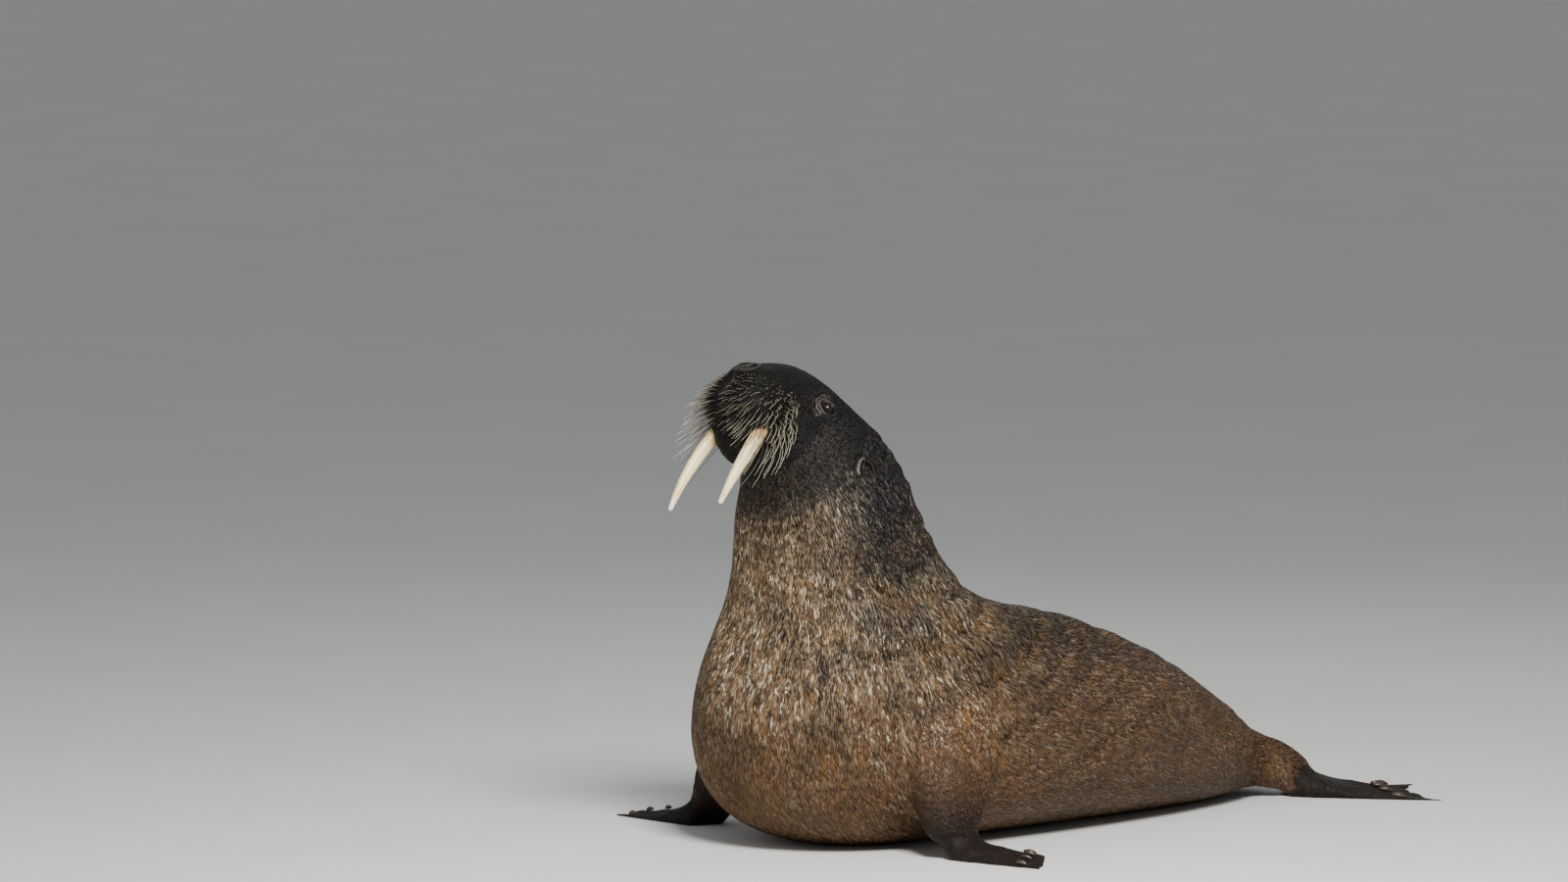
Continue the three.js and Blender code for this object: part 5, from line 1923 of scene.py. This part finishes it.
@dataclass
class Coat:
    """The tufts of wet hair that break the skin's form, each thin, tapered and laid along the body."""

    skin: Piece
    body: BodyMap
    carved: Skin
    finish: HideFinish
    sunk: float = 1.5
    thick: float = 1.2
    patch: float = 0.003
    bare_by: tuple[str, ...] = ("by_eye", "nostril", "mouth", "cleft", "by_ear", "gum")
    faces: tuple[tuple[int, int, int], ...] = (
        *((0, 2, 1), (0, 1, 4), (0, 4, 3), (1, 2, 5), (1, 5, 4)),
        *((2, 0, 3), (2, 3, 5), (3, 4, 6), (4, 5, 6), (5, 3, 6)),
    )

    def __post_init__(self) -> None:
        """Reads the skin's triangles, and what is noted at their corners."""
        mesh = self.skin.data
        mesh.calc_loop_triangles()
        corners = np.empty(len(mesh.loop_triangles) * 3, dtype=np.int32)
        mesh.loop_triangles.foreach_get("vertices", corners)
        self.triangles = corners.reshape(-1, 3)
        self.points = points_of(self.skin)
        self.outward = normals_of(self.skin)
        first, second, third = (self.points[self.triangles[:, corner]] for corner in range(3))
        self.area = np.linalg.norm(np.cross(second - first, third - first), axis=1)
        self.surface = BVHTree.FromPolygons(self.points.tolist(), self.triangles.tolist())

    def build(self, material: Material) -> None:
        """Grows every zone of the coat and dresses it."""
        for number, zone in enumerate(COAT_ZONES):
            dress(self.zone(zone, np.random.default_rng(70 + number)), material)

    def pick(self, zone: CoatZone, draw: np.random.Generator) -> dict[str, Array]:
        """Draws the roots of a zone's tufts over the skin.

        Args:
            zone: the zone.
            draw: the seeded draws.

        Returns:
            The roots with all that is noted there.
        """
        where = self.carved.where
        middle = where["station"][self.triangles].mean(axis=1)
        limb = where["limb"][self.triangles].mean(axis=1)
        centre = self.points[self.triangles].mean(axis=1)
        inside = (limb > 0.5) if zone.limb else (limb <= 0.5) & (middle >= zone.low) & (middle < zone.high)
        bare = np.maximum.reduce([self.carved.slots[name] for name in self.bare_by])
        bare = bare[self.triangles].mean(axis=1)
        weight = self.area * inside * (centre[:, 2] > 0.02) * np.clip(1 - bare * 1.6, 0, 1)
        if zone.limb:
            weight *= ease(centre[:, 2], 0.05, 0.14)
        place = HEAD.into(centre)
        place[:, 0] = np.abs(place[:, 0])
        cushion = (place - HEAD.cushion[:3]) / HEAD.cushion[3:]
        weight *= np.where(np.linalg.norm(cushion, axis=1) < 1.12, 0.25, 1.0)
        chosen = draw.choice(len(weight), zone.count, p=weight / weight.sum())
        u, v = draw.uniform(size=(2, zone.count))
        u, v = np.where(u + v > 1, 1 - u, u), np.where(u + v > 1, 1 - v, v)
        shares = np.stack([1 - u - v, u, v], axis=1)
        corners = self.triangles[chosen]

        def spread(values: Array) -> Array:
            """Values at the roots from those at the triangles' corners."""
            return np.einsum("nk,nk...->n...", shares, values[corners])

        near = corners[:, 0]
        return {
            "root": spread(self.points),
            "outward": unit(spread(self.outward)),
            "way": spread(where["way"]),
            "lie": spread(where["lie"]),
            "flipper": spread(where["dark"]),
            "station": where["station"][near],
            "angle": where["angle"][near],
        }

    def zone(self, zone: CoatZone, draw: np.random.Generator) -> Piece:
        """Grows one zone.

        Args:
            zone: the zone.
            draw: the seeded draws.

        Returns:
            The piece, with the values that its material reads and its map of root places.
        """
        at = self.pick(zone, draw)
        root, outward, count = at["root"], at["outward"], zone.count
        way = at["way"] + np.array([0, 0, -0.35])
        way = unit(way - outward * np.sum(way * outward, axis=1)[:, None])
        aside = np.cross(outward, way)
        clump = Noise(23).layered(root * [26, 26, 12], 2)
        swing = clump * 0.34 + draw.normal(scale=0.06, size=count)
        way = way * np.cos(swing)[:, None] + aside * np.sin(swing)[:, None]
        aside = np.cross(outward, way)
        length = zone.length * MM * draw.uniform(0.65, 1.25, count)
        width = zone.width * MM * draw.uniform(0.6, 1.2, count)
        thick = self.thick * MM * min(1.0, zone.width / 4)
        lift = zone.lift * MM * draw.uniform(0.3, 1.25, count) * (1 + 0.5 * np.maximum(clump, 0))
        middle, middle_out = self.over(root + way * (length * 0.5)[:, None])
        tip, tip_out = self.over(root + way * length[:, None])
        over = lift * 0.45
        spots = (
            (root, outward, -0.6, -self.sunk * MM),
            (root, outward, 0.6, -self.sunk * MM),
            (root, outward, 0.0, thick * 0.6),
            (middle, middle_out, -1.0, over - thick * 0.3),
            (middle, middle_out, 1.0, over - thick * 0.3),
            (middle, middle_out, 0.0, over + thick),
            (tip, tip_out, 0.0, lift),
        )
        half = aside * (width * 0.5)[:, None]
        corners = np.stack([at + half * out + way * np.reshape(up, (-1, 1)) for at, way, out, up in spots], axis=1)
        corners[:, :, 2] = np.maximum(corners[:, :, 2], 0.001)
        whole = repeated(np.array(self.faces), 7, count)
        piece = mesh_piece(zone.name, corners.reshape(-1, 3), whole)
        note(piece, "lie", np.repeat(at["lie"], 7, axis=0))
        note(piece, "flipper", np.repeat(at["flipper"], 7))
        note(piece, "tip", np.tile([0.0, 0.0, 0.1, 0.45, 0.45, 0.55, 1.0], count))
        neck = zone.high > self.body.neck_from
        fair = zone.fair * (ease(root[:, 1], -0.74, -0.9) if neck else np.ones(count))
        note(piece, "tone", np.repeat(draw.uniform(0, 1, count) ** 2 * fair, 7))
        self.map_roots(piece, zone, at, whole)
        return piece

    def over(self, points: Array) -> tuple[Array, Array]:
        """The skin's nearest places to points, with the skin's outward direction there."""
        found = [self.surface.find_nearest(p) for p in points]
        return np.array([f[0] for f in found]), np.array([f[1] for f in found])

    def map_roots(self, piece: Piece, zone: CoatZone, at: dict[str, Array], faces: Array) -> None:
        """Gives the piece its map: each tuft a small patch at its root's place on the unwrapped skin.

        Args:
            piece: the piece.
            zone: its zone.
            at: the roots.
            faces: its triangles.
        """
        if zone.limb:
            low, high = (np.array(corner) for corner in CAD_BOX)
            across, down = ((at["root"] - low) / (high - low)).T[:2]
        else:
            across = (at["angle"] / (2 * math.pi) + 0.5) % 1.0
            down = (at["station"] - zone.low) / (zone.high - zone.low)
        spot = np.stack([0.01 + 0.98 * across, 0.01 + 0.98 * np.clip(down, 0, 1)], axis=1)
        shape = np.array([(-0.3, -0.5), (0.3, -0.5), (0, -0.4), (-0.5, 0), (0.5, 0), (0, 0.05), (0, 0.5)]) * self.patch
        corners = (spot[:, None, :] + shape[None]).reshape(-1, 2)
        layer = piece.data.uv_layers.new(name="OFBake")
        layer.data.foreach_set("uv", corners[faces.ravel()].astype(np.float32).ravel())


@dataclass
class Studio:
    """The camera, the soft lights and the pale floor."""

    azimuth: float = 47.0
    elevation: float = 5.0
    distance: float = 20.0
    frame_width: float = 3.8095
    aim_right: float = -19.05 * MM
    aim_up: float = -38.1 * MM
    middle: Triple = (0.0, -0.25, 0.6)
    lights: tuple[tuple[str, Triple, float, float], ...] = (
        ("key", (0.5, 3.0, 4.2), 1.5, 470),
        ("fill", (-4.6, 1.6, 2.0), 3.5, 22),
        ("rim", (1.0, 3.4, -3.8), 2.4, 22),
    )
    air: str = "#dfe4ea"

    def axes(self) -> tuple[Vector, Vector, Vector]:
        """The picture's right and up, and the way back to the camera."""
        turn, tilt = math.radians(self.azimuth), math.radians(self.elevation)
        right = Vector((math.cos(turn), math.sin(turn), 0))
        back = Vector((math.sin(turn) * math.cos(tilt), -math.cos(turn) * math.cos(tilt), math.sin(tilt)))
        return right, back.cross(right), back

    def build(self) -> None:
        """Sets up the camera, the lights, the floor and the light of the room."""
        self.camera()
        middle, axes = Vector(self.middle), self.axes()
        for name, reach, size, power in self.lights:
            data = bpy.data.lights.new(name, "AREA")
            data.size, data.energy = size, power
            lamp = bpy.data.objects.new(name, data)
            bpy.context.collection.objects.link(lamp)
            away = sum((axis * far for axis, far in zip(axes, reach)), Vector())
            lamp.location = middle + away
            lamp.rotation_euler = (-away).to_track_quat("-Z", "Y").to_euler()
        self.floor()
        world = bpy.data.worlds.new("studio_air")
        bpy.context.scene.world = world
        world.use_nodes = True
        world.node_tree.nodes.clear()
        air = put(world.node_tree, "Background", {"Color": linear(self.air), "Strength": 0.4})
        put(world.node_tree, "OutputWorld", {"Surface": air})

    def camera(self) -> None:
        """Places the camera at the photograph's angle and frame."""
        right, up, back = self.axes()
        aim = Vector(HEAD.origin) + right * self.aim_right + up * self.aim_up
        data = bpy.data.cameras.new("view")
        data.sensor_width = 36.0
        data.lens = data.sensor_width * self.distance / self.frame_width
        data.clip_end = 400.0
        camera = bpy.data.objects.new("view", data)
        bpy.context.collection.objects.link(camera)
        turned = Matrix((right, up, back)).transposed().to_4x4()
        turned.translation = aim + back * self.distance
        camera.matrix_world = turned
        bpy.context.scene.camera = camera

    def floor(self) -> None:
        """Lays a wide round floor under everything."""
        nothing_selected()
        bpy.ops.mesh.primitive_circle_add(vertices=96, radius=160.0, fill_type="NGON", location=(0, 0, 0))
        floor = bpy.context.object
        floor.name = "studio_floor"
        floor.data.materials.append(FloorFinish().build())


def main() -> None:
    """Builds the walrus and its studio in order, and reports each piece."""
    logging.basicConfig(level=logging.INFO, format="%(name)s %(message)s")
    trunk = TrunkPlan()
    Studio().build()
    body = BodyMap(trunk)
    tusks = TuskPlan()
    carved = Skin(trunk, body, EyeSetting(), tusks)
    skin = carved.build(FleshForms(trunk).build())
    finish = HideFinish()
    markings = finish.markings()
    flesh = ("tail", "hindquarters", "belly", "chest", "neck", "head", "lip_pad_left", "lip_pad_right", "lower_jaw")
    limbs = tuple(f"{limb.name}_{side.label}" for limb in LIMBS for side in Side)
    dress(skin, finish.skin(markings), flesh + limbs)
    Tusks(tusks).build(IvoryFinish().build())
    Eyes().build(EyeFinish().build())
    Claws().build(ClawFinish().build())
    Whiskers().build(BristleFinish().build())
    Coat(skin, body, carved, finish).build(finish.coat(markings))


if __name__ == "__main__":
    main()
